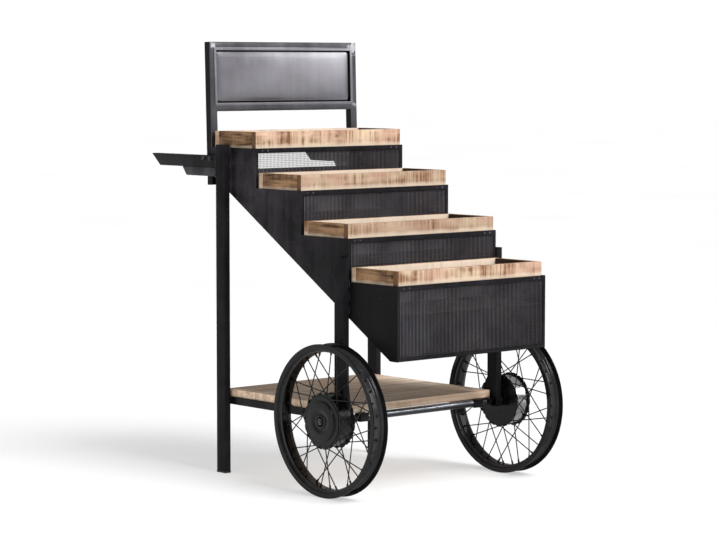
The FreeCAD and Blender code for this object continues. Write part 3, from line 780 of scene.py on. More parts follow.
def merged_copy(node: str) -> Shape:
    """A CAD node's mesh with its loose triangles joined into whole flat faces."""
    shape = bmesh.new()
    shape.from_mesh(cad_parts[node].data)
    bmesh.ops.remove_doubles(shape, verts=shape.verts, dist=WELD_DISTANCE)
    bmesh.ops.dissolve_limit(shape, angle_limit=FLAT_ANGLE, verts=shape.verts,
                             edges=shape.edges)
    return shape


def bevel(shape: Shape, edges: list, width: float, segments: int) -> None:
    """Round some edges of a shape.

    Args:
        shape: the mesh to change.
        edges: the edges to round.
        width: how far the rounding reaches from each edge.
        segments: steps round each edge.
    """
    bmesh.ops.bevel(shape, geom=edges, offset=width, offset_type="OFFSET", segments=segments,
                    profile=0.5, affect="EDGES", clamp_overlap=True, material=-1)


def round_edges(shape: Shape, width: float, segments: int = 3, shortest: float = 0.0) -> None:
    """Round the outer corners of a shape.

    Args:
        shape: the mesh to change.
        width: how far the rounding reaches from each edge.
        segments: steps round each edge.
        shortest: edges shorter than this stay sharp.
    """
    bevel(shape, [edge for edge in shape.edges
                  if edge.is_manifold and edge.calc_length() >= shortest
                  and edge.calc_face_angle_signed() > CORNER_ANGLE], width, segments)


def lathe(outline: list, centre: Vector, steps: int) -> Shape:
    """Spin a closed outline about a line parallel to X.

    Args:
        outline: (distance along X, radius) of each corner, in order.
        centre: a point on the line, from which X is measured.
        steps: steps round the full turn.

    Returns:
        The closed shape.
    """
    shape = bmesh.new()
    ring = [shape.verts.new(centre + Vector((along, 0.0, radius)))
            for along, radius in outline]
    edges = [shape.edges.new(pair) for pair in zip(ring, ring[1:] + ring[:1])]
    bmesh.ops.spin(shape, geom=ring + edges, cent=centre, axis=(1.0, 0.0, 0.0),
                   angle=math.tau, steps=steps, use_merge=True)
    bmesh.ops.remove_doubles(shape, verts=shape.verts, dist=WELD_DISTANCE)
    bmesh.ops.recalc_face_normals(shape, faces=shape.faces)
    return shape


def arc(centre: tuple[float, float], radius: float, start: float, end: float,
        count: int) -> list:
    """Points on an arc, as (along, radius) pairs; angles in degrees from the X direction."""
    angles = [math.radians(start + (end - start) * k / (count - 1)) for k in range(count)]
    return [(centre[0] + radius * math.cos(angle), centre[1] + radius * math.sin(angle))
            for angle in angles]


def joined(shapes: list) -> Shape:
    """Several shapes as one mesh."""
    whole = bmesh.new()
    carrier = bpy.data.meshes.new("carrier")
    for shape in shapes:
        shape.to_mesh(carrier)
        shape.free()
        whole.from_mesh(carrier)
    bpy.data.meshes.remove(carrier)
    return whole


def settle(name: str, shape: Shape, material: bpy.types.Material, body: str,
           stands_for: tuple[str, ...] = (), crisp: float = 32.0) -> None:
    """Make a finished piece of a shape and let it ride on a body.

    Args:
        name: the piece's name.
        shape: its mesh, which is used up.
        material: its finish.
        body: the body that carries it.
        stands_for: CAD nodes that it replaces.
        crisp: edges sharper than this many degrees stay sharp.
    """
    mesh = bpy.data.meshes.new(name)
    shape.to_mesh(mesh)
    shape.free()
    mesh.materials.append(material)
    mesh.polygons.foreach_set("use_smooth", [True] * len(mesh.polygons))
    mesh.set_sharp_from_angle(angle=math.radians(crisp))
    piece = bpy.data.objects.new(name, mesh)
    bpy.context.scene.collection.objects.link(piece)
    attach(piece, body)
    if stands_for:
        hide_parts(*stands_for)
    log.info("%s: %d faces on %s", name, len(mesh.polygons), body)


def dress(nodes: tuple[str, ...], material: bpy.types.Material) -> None:
    """Give CAD nodes that stay in view their finish."""
    for node in nodes:
        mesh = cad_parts[node].data
        mesh.materials.clear()
        mesh.materials.append(material)


def bead(start: Vector, end: Vector, radius: float, seed: int) -> Shape:
    """A weld bead with its ripples.

    Args:
        start: where the bead starts.
        end: where it ends.
        radius: its half width.
        seed: picks the ripples.

    Returns:
        A closed wavy rod along the seam.
    """
    chance = Random(seed)
    rings = max(4, round((end - start).length / (1.1 * radius)))
    step = (end - start) / rings
    shape = bmesh.new()
    bmesh.ops.create_circle(shape, cap_ends=True, segments=8, radius=radius * BEAD_END)
    bmesh.ops.rotate(shape, cent=(0, 0, 0), verts=shape.verts,
                     matrix=(end - start).to_track_quat("Z", "Y").to_matrix())
    move(shape, start)
    loop = list(shape.edges)
    swell = BEAD_END
    for ring in range(rings):
        verts, loop = pull_loop(shape, loop)
        bmesh.ops.translate(shape, vec=step, verts=verts)
        ripple = 1.0 if ring % 2 else BEAD_DIP
        wanted = (BEAD_END if ring == rings - 1 else ripple) \
            + chance.uniform(-BEAD_CHANCE, BEAD_CHANCE)
        middle = start + step * (ring + 1)
        bmesh.ops.scale(shape, vec=Vector((1, 1, 1)) * (wanted / swell), verts=verts,
                        space=Matrix.Translation(-middle))
        swell = wanted
    close_loop(shape, loop)
    return shape


# ------------------------------------------------------------------ sub-assemblies


@dataclass
class SheetBody:
    """The stepped bins: side panels, floors, frames and rails, all of sheet."""

    finishes: Finishes
    frame_rounding: float = 0.7 * MM
    frame_length: float = 20.0 * MM
    rivet_insets: tuple[float, float] = (26.0 * MM, 50.0 * MM)
    rivet_drop: float = 8.0 * MM
    rivet_radius: float = 3.1 * MM
    rivet_rise: float = 1.15 * MM
    rivet_tail: float = 1.1 * MM

    def build(self) -> None:
        """Dress the sheets, round the front frames and set the rivets."""
        dress(("side_panel_left", "side_panel_right"), self.finishes.panel)
        dress(("bottom_sheet", "tier_floors", "box_ledges", "back_top_rail", "back_sill"),
              self.finishes.inside)
        for tier in TIERS:
            node = f"front_frame_{tier}"
            shape = merged_copy(node)
            round_edges(shape, self.frame_rounding, 2, self.frame_length)
            settle(f"rounded_front_{tier}", shape, self.finishes.front, CART, (node,))
        self.build_rivets()

    def build_rivets(self) -> None:
        """Domed rivet heads in the top bands, with their flat tails behind the mesh."""
        shapes = []
        for tier in TIERS:
            low, high = corners_of(f"front_frame_{tier}")
            back = corners_of(f"mesh_panel_{tier}")[1].y
            for side in Side:
                edge = high.x if side is Side.RIGHT else low.x
                for inset in self.rivet_insets:
                    x, z = edge - side.value * inset, high.z - self.rivet_drop
                    shapes.append(self.rivet_head(Vector((x, low.y, z))))
                    shapes.append(self.rivet_end(Vector((x, back + self.rivet_tail / 2, z))))
        settle("domed_rivets", joined(shapes), self.finishes.rivet, CART, ("mesh_rivets",))

    def rivet_head(self, place: Vector) -> Shape:
        """One domed head whose flat back lies on the frame's face."""
        shape = bmesh.new()
        bmesh.ops.create_uvsphere(shape, u_segments=16, v_segments=8, radius=1.0)
        bmesh.ops.bisect_plane(shape, geom=all_of(shape), plane_co=(0, 0, 0),
                               plane_no=(0, 0, -1), clear_outer=True)
        close_loop(shape, [edge for edge in shape.edges if edge.is_boundary])
        bmesh.ops.scale(shape, vec=(self.rivet_radius, self.rivet_radius, self.rivet_rise),
                        verts=shape.verts)
        turn(shape, math.pi / 2, "X")
        move(shape, place)
        return shape

    def rivet_end(self, place: Vector) -> Shape:
        """One flattened tail, given its middle."""
        shape = bmesh.new()
        bmesh.ops.create_cone(shape, cap_ends=True, segments=12, depth=self.rivet_tail,
                              radius1=self.rivet_radius * 0.7,
                              radius2=self.rivet_radius * 0.55)
        turn(shape, -math.pi / 2, "X")
        move(shape, place)
        return shape


@dataclass
class WovenFront:
    """Woven wire cloth behind one front frame."""

    tier: int
    finishes: Finishes
    pitch: float = 5.8 * MM
    upright_radius: float = 0.92 * MM
    level_radius: float = 0.45 * MM
    wave: float = 0.35 * MM
    frame_gap: float = 0.05 * MM
    crisp: float = 180.0

    def build(self) -> None:
        """Weave upright and level wires over the whole panel."""
        low, high = corners_of(f"mesh_panel_{self.tier}")
        middle = low.y + self.frame_gap + self.wave + self.upright_radius
        columns = int((high.x - low.x) / self.pitch)
        rows = int((high.z - low.z) / self.pitch)
        across = (high.x - low.x) / columns
        up = (high.z - low.z) / rows
        uprights, levels = [], []
        for phase in (0, 1):
            upright = self.wire(rows, up, phase, self.upright_radius)
            move(upright, (low.x + across * (0.5 + phase), middle, low.z))
            self.repeat(upright, (columns - phase + 1) // 2, Vector((2 * across, 0, 0)))
            uprights.append(upright)
            level = self.wire(columns, across, 1 - phase, self.level_radius)
            turn(level, math.pi / 2, "Y")
            move(level, (low.x, middle, low.z + up * (0.5 + phase)))
            self.repeat(level, (rows - phase + 1) // 2, Vector((0, 0, 2 * up)))
            levels.append(level)
        settle(f"woven_front_{self.tier}", joined(uprights), self.finishes.wire(self.tier),
               CART, (f"mesh_panel_{self.tier}",), self.crisp)
        settle(f"woven_weft_{self.tier}", joined(levels), self.finishes.weft, CART, (),
               self.crisp)

    def wire(self, crossings: int, step: float, phase: int, radius: float) -> Shape:
        """One wire along Z that waves to and fro past each crossing.

        Args:
            crossings: wires that it passes.
            step: distance between them.
            phase: 0 or 1, the side on which it passes the first.
            radius: half its thickness.

        Returns:
            The wire, starting at the origin.
        """
        shape = bmesh.new()
        bmesh.ops.create_circle(shape, cap_ends=True, segments=4, radius=radius)
        loop = list(shape.edges)
        offset = 0.0
        for half in range(1, 2 * crossings + 1):
            verts, loop = pull_loop(shape, loop)
            crossing = half // 2 + phase
            wanted = self.wave * (1 if crossing % 2 else -1) if half % 2 else 0.0
            bmesh.ops.translate(shape, vec=(0, wanted - offset, step / 2), verts=verts)
            offset = wanted
        close_loop(shape, loop)
        return shape

    @staticmethod
    def repeat(shape: Shape, count: int, step: Vector) -> None:
        """Copy a shape into a row of count, each a step further."""
        source = all_of(shape)
        for copy in range(1, count):
            made = bmesh.ops.duplicate(shape, geom=source)["geom"]
            verts = [part for part in made if isinstance(part, bmesh.types.BMVert)]
            bmesh.ops.translate(shape, vec=step * copy, verts=verts)


@dataclass
class WoodenBox:
    """The loose frame of sawn boards in the top of one bin."""

    tier: int
    finishes: Finishes
    thickness: float = 20.0 * MM
    rounding: float = 1.1 * MM
    slice_length: float = 18.0 * MM
    wander: float = 0.55 * MM
    end_gap: float = 0.25 * MM

    def build(self) -> None:
        """Saw the long boards and the side boards."""
        rim = corners_of(f"front_frame_{self.tier}")[1].z
        for kind, along in (("long", Run.X), ("side", Run.Y)):
            node = f"box_{kind}_boards_{self.tier}"
            low, high = corners_of(node)
            across = 1 - along.value
            shapes = []
            for end in (0, 1):
                inner, outer = low.copy(), high.copy()
                if end:
                    inner[across] = high[across] - self.thickness
                else:
                    outer[across] = low[across] + self.thickness
                if along is Run.Y:
                    inner.y += self.end_gap
                    outer.y -= self.end_gap
                seed = 10 * self.tier + 2 * across + end
                shapes.append(wandering_board(inner, outer, along, seed, self.slice_length,
                                              self.wander, self.rounding))
            settle(f"sawn_{kind}_boards_{self.tier}", joined(shapes),
                   self.finishes.box_wood(self.tier, along, rim), f"box_frame_{self.tier}",
                   (node,), BOARD_CRISP)


def wandering_board(low: Vector, high: Vector, along: Run, seed: int, slice_length: float,
                    wander: float, rounding: float) -> Shape:
    """A sawn board inside a box.

    Args:
        low: the box's lowest corner.
        high: its highest corner.
        along: the axis that the board follows.
        seed: picks the board's own waves.
        slice_length: distance between the cross-sections that may move.
        wander: how far a face may lie inside the box.
        rounding: width of the worn arrises.

    Returns:
        The board, no larger than its box.
    """
    shape = box_shape(low, high)
    start, length = low[along.value], high[along.value] - low[along.value]
    slices = max(2, round(length / slice_length))
    for cut in range(1, slices):
        slice_at(shape, along.value, start + length * cut / slices)
    middle = (low + high) / 2
    for vert in shape.verts:
        for axis in range(3):
            if axis == along.value:
                continue
            spot = vert.co * 9.0 + Vector((seed, 2.7 * seed, axis * 5.1))
            inward = wander * (0.5 + 0.5 * noise.noise(spot))
            vert.co[axis] += -inward if vert.co[axis] > middle[axis] else inward
    round_edges(shape, rounding, segments=2)
    return shape


@dataclass
class TubeFrame:
    """Legs, handles, shelf rails, caps and feet, with their welds."""

    finishes: Finishes
    leg_rounding: float = 3.0 * MM
    bar_rounding: float = 2.2 * MM
    cap_rounding: float = 0.9 * MM
    bolt_rounding: float = 0.6 * MM
    tube_length: float = 60.0 * MM
    handle_length: float = 20.0 * MM
    foot_length: float = 12.0 * MM
    bolt_length: float = 5.0 * MM
    bead_radius: float = 2.0 * MM
    panel_bead_radius: float = 1.6 * MM
    panel_bead_length: float = 24.0 * MM
    panel_bead_shares: tuple[float, ...] = (0.12, 0.5, 0.86)
    bottom_lip: float = 33.0 * MM

    def build(self) -> None:
        """Round the tubes and lay the beads."""
        for side in Side:
            for part in ("rear_leg", "front_leg"):
                self.soften(f"{part}_{side.word}", self.leg_rounding, self.tube_length,
                            self.finishes.leg)
            self.soften(f"shelf_side_rail_{side.word}", self.bar_rounding, self.tube_length)
            self.soften(f"handle_bar_{side.word}", self.bar_rounding, self.handle_length)
            self.soften(f"handle_brace_{side.word}", self.bar_rounding, self.handle_length,
                        self.finishes.brace)
        self.soften("shelf_rear_rail", self.bar_rounding, self.tube_length)
        self.soften("leg_caps", self.cap_rounding, 0.0)
        self.soften("rear_feet", self.cap_rounding, self.foot_length, self.finishes.plastic)
        self.soften("handle_bolts", self.bolt_rounding, self.bolt_length, self.finishes.weld)
        settle("frame_welds", joined(self.beads()), self.finishes.weld, CART, (),
               WELD_CRISP)

    def soften(self, node: str, width: float, shortest: float,
               material: bpy.types.Material | None = None) -> None:
        """Replace a tube by a copy with rounded corners.

        Args:
            node: the CAD node.
            width: how far the rounding reaches from each corner.
            shortest: edges shorter than this stay sharp.
            material: the finish, if it isn't that of the tubes.
        """
        shape = merged_copy(node)
        round_edges(shape, width, 3, shortest)
        settle(f"rounded_{node}", shape, material or self.finishes.tube, CART, (node,))

    def beads(self) -> list:
        """Beads at the handles and up the side panels' joints with the legs."""
        seams = []
        for side in Side:
            leg_low, leg_high = corners_of(f"rear_leg_{side.word}")
            right = side is Side.RIGHT
            outer, inner = (leg_high.x, leg_low.x) if right else (leg_low.x, leg_high.x)
            back = leg_high.y
            for part in ("handle_bar", "handle_brace"):
                low, high = corners_of(f"{part}_{side.word}")
                level = high.z if part == "handle_bar" else low.z
                seams += [((inner, back, level), (outer, back, level), self.bead_radius),
                          ((outer, back, low.z), (outer, back, high.z), self.bead_radius)]
            for leg in ("front_leg", "rear_leg"):
                low, high = corners_of(f"{leg}_{side.word}")
                bottom = self.panel_bottom(low.y)
                for edge in (low.y, high.y) if leg == "front_leg" else (low.y,):
                    top = min(high.z, self.panel_top(edge))
                    for share in self.panel_bead_shares:
                        start = bottom + (top - bottom) * share
                        seams.append(((inner, edge, start),
                                      (inner, edge, start + self.panel_bead_length),
                                      self.panel_bead_radius))
        return [bead(Vector(start), Vector(end), radius, seed)
                for seed, (start, end, radius) in enumerate(seams, 1)]

    def panel_bottom(self, y: float) -> float:
        """Height of the side panels' sloping lower edge at a given Y."""
        low, high = corners_of("bottom_sheet")
        start = low.y + self.bottom_lip
        return low.z + (high.z - low.z) * max(0.0, (y - start) / (high.y - start))

    @staticmethod
    def panel_top(y: float) -> float:
        """Height of the side panels' stepped upper edge at a given Y."""
        tops = [corners_of(f"front_frame_{tier}") for tier in TIERS]
        return max(high.z for low, high in tops if low.y <= y + MM)


@dataclass
class SignFrame:
    """Posts, rails and the blank plate, all leaning back a little.

    plate_steps are the inset and rise of each bend in the plate's rolled edge, in millimetres.
    """

    finishes: Finishes
    lean: float = math.radians(1.72)
    pivot_height: float = 1.05
    front: float = 0.3109
    tube: float = 28.0 * MM
    rounding: float = 2.4 * MM
    tube_length: float = 60.0 * MM
    strip_length: float = 20.0 * MM
    strip_width: float = 10.5 * MM
    strip_rise: float = 1.4 * MM
    strip_rounding: float = 0.6 * MM
    plate_crown: float = 2.2 * MM
    plate_gap: float = 3.6 * MM
    plate_recess: float = 5.0 * MM
    plate_depth: float = 6.0 * MM
    flange: float = 2.0 * MM
    plate_corner: float = 12.0 * MM
    plate_steps: tuple[tuple[float, float], ...] = (
        (0.0, 2.2), (0.8, -1.0), (1.2, -0.6), (1.8, -0.4), (3.0, -0.3))
    plate_rim: float = 7.0 * MM
    plate_cells: tuple[int, int] = (34, 12)
    panel_height: float = 175.0 * MM
    weld_radius: float = 1.6 * MM
    weld_inset: float = 2.0 * MM

    def __post_init__(self) -> None:
        """Find the opening between the posts and the rails."""
        self.half = corners_of("sign_panel")[1].x
        self.top = corners_of("sign_post_left")[1].z - self.tube
        self.low = self.top - self.panel_height

    def build(self) -> None:
        """Round the frame, lay the strips and press the plate."""
        for node in ("sign_post_left", "sign_post_right", "sign_top_rail", "sign_bottom_rail"):
            shape = merged_copy(node)
            round_edges(shape, self.rounding, 3, self.tube_length)
            settle(f"rounded_{node}", shape, self.finishes.sign_frame, CART, (node,))
        settle("sign_strips", self.strips(), self.finishes.strip, CART, ())
        settle("pressed_sign_plate", self.plate(), self.finishes.sign, CART, ("sign_panel",),
               PLATE_CRISP)
        settle("sign_flange", self.back(), self.finishes.groove_shade, CART, ())
        settle("sign_welds", joined(self.corner_welds()), self.finishes.strip, CART, (),
               WELD_CRISP)

    def leaned(self, shape: Shape) -> Shape:
        """Lean a shape back about the pivot line."""
        turn(shape, -self.lean, "X", (0.0, self.front, self.pivot_height))
        return shape

    def strips(self) -> Shape:
        """Flat bars round the opening, standing just proud of the tubes."""
        width = self.strip_width
        shape = box_shape(Vector((-self.half - width, self.front - self.strip_rise,
                                  self.low - width)),
                          Vector((self.half + width, self.front, self.top + width)))
        caps = [face for face in shape.faces if abs(face.normal.y) > 0.9]
        for cap in caps:
            bmesh.ops.inset_region(shape, faces=[cap], thickness=width, use_even_offset=True)
        loops = [list(cap.edges) for cap in caps]
        bmesh.ops.delete(shape, geom=caps, context="FACES_ONLY")
        bmesh.ops.bridge_loops(shape, edges=loops[0] + loops[1])
        bmesh.ops.recalc_face_normals(shape, faces=shape.faces)
        round_edges(shape, self.strip_rounding, 2, self.strip_length)
        return self.leaned(shape)

    def plate(self) -> Shape:
        """The blank plate: rounded corners, a rolled edge and a crowned, dented face."""
        face = self.front + self.plate_recess
        half = self.half - self.plate_gap
        low, high = self.low + self.plate_gap, self.top - self.plate_gap
        shape = box_shape(Vector((-half, face, low)), Vector((half, face + self.plate_depth,
                                                              high)))
        corners = [edge for edge in shape.edges
                   if abs(edge.verts[0].co.y - edge.verts[1].co.y) > self.plate_depth / 2]
        bevel(shape, corners, self.plate_corner, 8)
        front = min(shape.faces, key=lambda f: f.calc_center_median().y)
        for inset, rise in self.plate_steps:
            if inset:
                bmesh.ops.inset_region(shape, faces=[front], thickness=inset * MM)
            bmesh.ops.translate(shape, vec=(0, rise * MM, 0), verts=front.verts)
        self.crown(shape, half - self.plate_rim, (low + high) / 2,
                   (high - low) / 2 - self.plate_rim)
        return self.leaned(shape)

    def back(self) -> Shape:
        """The flat sheet behind the plate, which shows as a dark groove round it; its
        near-black colour is painted shade in the recess.
        """
        face = self.front + self.plate_recess + self.plate_depth
        return self.leaned(box_shape(Vector((-self.half, face, self.low)),
                                     Vector((self.half, face + self.flange, self.top))))

    def crown(self, shape: Shape, half_x: float, middle_z: float, half_z: float) -> None:
        """Cut the plate's front into cells and swell it.

        Args:
            shape: the plate, upright.
            half_x: half the width of the flat part.
            middle_z: height of its middle.
            half_z: half its height.
        """
        just_inside = 0.999
        columns, rows = self.plate_cells
        for count, axis, middle, half in ((columns, 0, 0.0, half_x),
                                          (rows, 2, middle_z, half_z)):
            for cut in range(count + 1):
                slice_at(shape, axis, middle + half * (2 * cut / count - 1) * just_inside)
        for vert in shape.verts:
            u, v = vert.co.x / half_x, (vert.co.z - middle_z) / half_z
            if abs(u) >= 1.0 or abs(v) >= 1.0 or vert.normal.y > -0.5:
                continue
            swell = ((1 - u ** 4) * (1 - v ** 4)) ** 0.5
            dent = 0.25 * noise.noise(Vector((vert.co.x * 9.0, 3.0, vert.co.z * 11.0)))
            vert.co.y -= self.plate_crown * swell * (1.0 + dent)

    def corner_welds(self) -> list:
        """Ground-down welds where the rails meet the posts."""
        shapes = []
        inset, tube = self.weld_inset, self.tube
        for side in Side:
            x = side.value * self.half
            for low, high in ((self.top, self.top + tube), (self.low - tube, self.low)):
                for y in (self.front, self.front + tube):
                    seam = bead(Vector((x, y, low + inset)), Vector((x, y, high - inset)),
                                self.weld_radius, round(1000 * high) + side.value)
                    shapes.append(self.leaned(seam))
        return shapes


@dataclass
class Shelf:
    """The low shelf of planed boards."""

    finishes: Finishes
    boards: int = 4
    gap: float = 3.0 * MM
    rounding: float = 1.6 * MM
    slice_length: float = 40.0 * MM
    wander: float = 0.3 * MM
    first_seed: int = 71

    def build(self) -> None:
        """Lay the boards."""
        low, high = corners_of("shelf_boards")
        depth = (high.y - low.y - (self.boards - 1) * self.gap) / self.boards
        shapes = []
        for number in range(self.boards):
            start = low.y + number * (depth + self.gap)
            shapes.append(wandering_board(Vector((low.x, start, low.z)),
                                          Vector((high.x, start + depth, high.z)), Run.X,
                                          self.first_seed + number, self.slice_length,
                                          self.wander, self.rounding))
        settle("planed_shelf", joined(shapes), self.finishes.shelf, CART, ("shelf_boards",),
               BOARD_CRISP)


@dataclass
class Axle:
    """Rod, bright tube, blocks and hardware under the shelf."""

    finishes: Finishes
    tube_bore: float = 6.2 * MM
    chamfer: float = 1.0 * MM
    steps: int = 40
    block_rounding: float = 1.5 * MM
    block_length: float = 25.0 * MM

    def build(self) -> None:
        """Turn the rod and the tube, and dress the rest."""
        for node, material, slot, bore in (
                ("axle_tube", self.finishes.axle, "bright_steel", self.tube_bore),
                ("axle_rod", self.finishes.rod, "fastener_steel", 0.0)):
            low, high = corners_of(node)
            half, radius = (high.x - low.x) / 2, (high.z - low.z) / 2
            end, edge = half - self.chamfer, radius - self.chamfer
            outline = [(-half, bore), (-half, edge), (-end, radius), (end, radius),
                       (half, edge), (half, bore)]
            settle(f"turned_{node}", lathe(outline, (low + high) / 2, self.steps), material,
                   CART, (node,))
        shape = merged_copy("axle_blocks")
        round_edges(shape, self.block_rounding, 2, self.block_length)
        settle("rounded_axle_blocks", shape, self.finishes.tube, CART, ("axle_blocks",))
        dress(("axle_hardware",), self.finishes.zinc)


@dataclass
class SpokedWheel:
    """One wheel: rolled rim, drum hub and cover, with the CAD spokes and nipples dressed."""

    side: Side
    finishes: Finishes
    rim_steps: int = 144
    hub_steps: int = 216
    wall: float = 2.6 * MM
    depth: float = 26.0 * MM
    lip_radius: float = 2.3 * MM
    flange: float = 4.0 * MM
    flange_count: int = 18
    scallop: float = 3.0 * MM
    scallop_turn: float = math.radians(3.9)
    flange_rim: float = 89.0 * MM
    edge: float = 0.9 * MM
    drum: float = 80.0 * MM
    drum_wall: float = 5.0 * MM
    fillet: float = 4.0 * MM
    boss: float = 25.0 * MM
    boss_end: float = 23.0 * MM
    bearing: float = 18.5 * MM
    seat: float = 6.5 * MM
    band_skin: float = 0.5 * MM
    cover_disc: float = 64.0 * MM
    cover_hole: float = 15.0 * MM
    cover_steps: int = 144
    crisp: float = 40.0

    def __post_init__(self) -> None:
        """Find the wheel's place."""
        self.low, self.high = corners_of(f"rim_{self.side.word}")
        self.centre = (self.low + self.high) / 2

    def build(self) -> None:
        """Make the rim, hub and cover, and dress what stays."""
        word = self.side.word
        body = f"wheel_{word}"
        settle(f"rolled_rim_{word}", self.rim(), self.finishes.rim, body, (f"rim_{word}",),
               self.crisp)
        settle(f"cast_hub_{word}", self.hub(), self.finishes.hub, body, (f"hub_{word}",),
               self.crisp)
        left = self.side is Side.LEFT
        settle(f"drum_band_{word}", self.band(),
               self.finishes.hub if left else self.finishes.band, body, (),
               self.crisp)
        settle(f"domed_cover_{word}", self.cover(), self.finishes.hub, body,
               (f"hub_cover_{word}",), self.crisp)
        dress((f"spokes_{word}", f"nipples_{word}"), self.finishes.spoke)
        dress((f"bearings_{word}",), self.finishes.bright)

    def outward(self, outline: list) -> list:
        """Turn an outline measured away from the cart into one along X."""
        return [(self.side.value * along, radius) for along, radius in outline]

    def rim(self) -> Shape:
        """Drop-centre rim with rolled lips, drawn from the middle of its hub side outwards."""
        half = (self.high.x - self.low.x) / 2
        top = (self.high.z - self.low.z) / 2
        lip = self.lip_radius
        floor = top - self.depth
        seat = floor + self.wall + self.seat
        shoulder, well = 3.0 * MM, 5.0 * MM
        outer_well = well + 0.2 * MM
        outer_bend, inner_bend = 4.6 * MM, 4.0 * MM
        outer_face, inner_face = half - 1.0 * MM, half - 4.6 * MM
        well_edge, slope_edge, under_slope = half * 0.40, half * 0.66, half * 0.64 + 1.0 * MM
        right = [(0.0, floor)]
        right += arc((well_edge, floor + outer_well), outer_well, -90.0, -40.0, 5)
        right += arc((under_slope, seat - self.wall - shoulder), shoulder, 150.0, 90.0, 4)
        right += arc((outer_face - outer_bend, seat - self.wall + outer_bend), outer_bend,
                     -90.0, 0.0, 6)
        right += [(outer_face, top - 3.2 * lip)]
        right += arc((half - lip, top - lip), lip, -60.0, 150.0, 8)
        right += [(half - 2 * lip - 0.2 * MM, top - 3.4 * lip)]
        right += arc((inner_face - inner_bend, seat + inner_bend), inner_bend, 0.0, -90.0, 6)
        right += arc((slope_edge, seat - shoulder), shoulder, 90.0, 150.0, 4)
        right += arc((well_edge, floor + self.wall + well), well, -40.0, -90.0, 5)
        left = [(-along, radius) for along, radius in reversed(right)]
        return lathe(right + left[:-1], self.centre, self.rim_steps)

    def faces(self, part: str) -> tuple[float, float]:
        """Inner and outer face of the hub or its cover, measured away from the cart."""
        low, high = corners_of(f"{part}_{self.side.word}")
        inner, outer = sorted(self.side.value * (edge - self.centre.x)
                              for edge in (low.x, high.x))
        return inner, outer

    def hub(self) -> Shape:
        """Cast drum with two scalloped flanges."""
        inner, outer = self.faces("hub")
        rim, edge, drum = self.flange_rim, self.edge, self.drum
        fillet, wall = self.fillet, self.drum_wall
        start, end = inner + self.flange, outer - self.flange
        outline = [(inner, self.bearing), (inner, rim - edge), (inner + edge, rim),
                   (start - edge, rim), (start, rim - edge)]
        outline += arc((start + fillet, drum + fillet), fillet, 180.0, 270.0, 5)
        outline += arc((end - fillet, drum + fillet), fillet, 270.0, 360.0, 5)
        outline += [(end, rim - edge), (end + edge, rim), (outer - edge, rim),
                    (outer, rim - edge), (outer, drum - wall), (inner + wall, drum - wall),
                    (inner + wall, self.boss), (self.boss_end, self.boss),
                    (self.boss_end, self.bearing)]
        shape = lathe(self.outward(outline), self.centre, self.hub_steps)
        step = math.tau / self.flange_count
        for vert in shape.verts:
            arm = vert.co - self.centre
            radius = math.hypot(arm.y, arm.z)
            if radius < rim - 1.5 * edge:
                continue
            near_outer = self.side.value * arm.x > 0
            angle = math.atan2(arm.z, arm.y) - (step / 2 if near_outer else 0.0)
            off = abs((angle + step / 2) % step - step / 2)
            bite = self.scallop * max(0.0, 1.0 - (off / self.scallop_turn) ** 2)
            vert.co.y -= bite * arm.y / radius
            vert.co.z -= bite * arm.z / radius
        return shape

    def band(self) -> Shape:
        """Turned band round the drum, clear of both fillets."""
        inner, outer = self.faces("hub")
        clear = self.flange + self.fillet + 1.0 * MM
        start, end = inner + clear, outer - clear
        drum, skin = self.drum, self.band_skin
        outline = [(start, drum - skin), (start, drum + skin), (start + skin, drum + 2 * skin),
                   (end - skin, drum + 2 * skin), (end, drum + skin), (end, drum - skin)]
        return lathe(self.outward(outline), self.centre, self.cover_steps)

    def cover(self) -> Shape:
        """Outer cover: a flat ring, a rounded step up to a slightly domed disc, and a boss."""
        base, crown = self.faces("hub_cover")
        low, high = corners_of(f"hub_cover_{self.side.word}")
        rim = (high.z - low.z) / 2
        disc, hole = self.cover_disc, self.cover_hole
        ring, shoulder, soft = base + 2.5 * MM, crown - 2.2 * MM, 3.2 * MM
        outline = [(base, rim - 1.0 * MM), (base + 1.0 * MM, rim), (base + 1.6 * MM, rim),
                   (ring, rim - 1.0 * MM), (ring, disc + 4.0 * MM)]
        outline += arc((ring + 2.0 * MM, disc + 2.0 * MM), 2.0 * MM, 180.0, 270.0, 4)
        outline += arc((shoulder - soft, disc - soft), soft, 90.0, 0.0, 6)
        outline += [(crown - drop * MM, radius * MM) for drop, radius in (
            (1.2, 44.0), (1.0, 33.0), (3.0, 30.0), (3.2, 25.0), (0.8, 22.5), (0.0, 21.0))]
        outline += [(crown, hole + 1.0 * MM), (crown - 1.0 * MM, hole),
                    (crown - 5.6 * MM, hole), (crown - 5.6 * MM, 40.0 * MM),
                    (base + 2.6 * MM, disc - 8.0 * MM), (base, disc - 4.0 * MM)]
        return lathe(self.outward(outline), self.centre, self.cover_steps)


# ------------------------------------------------------------------ studio


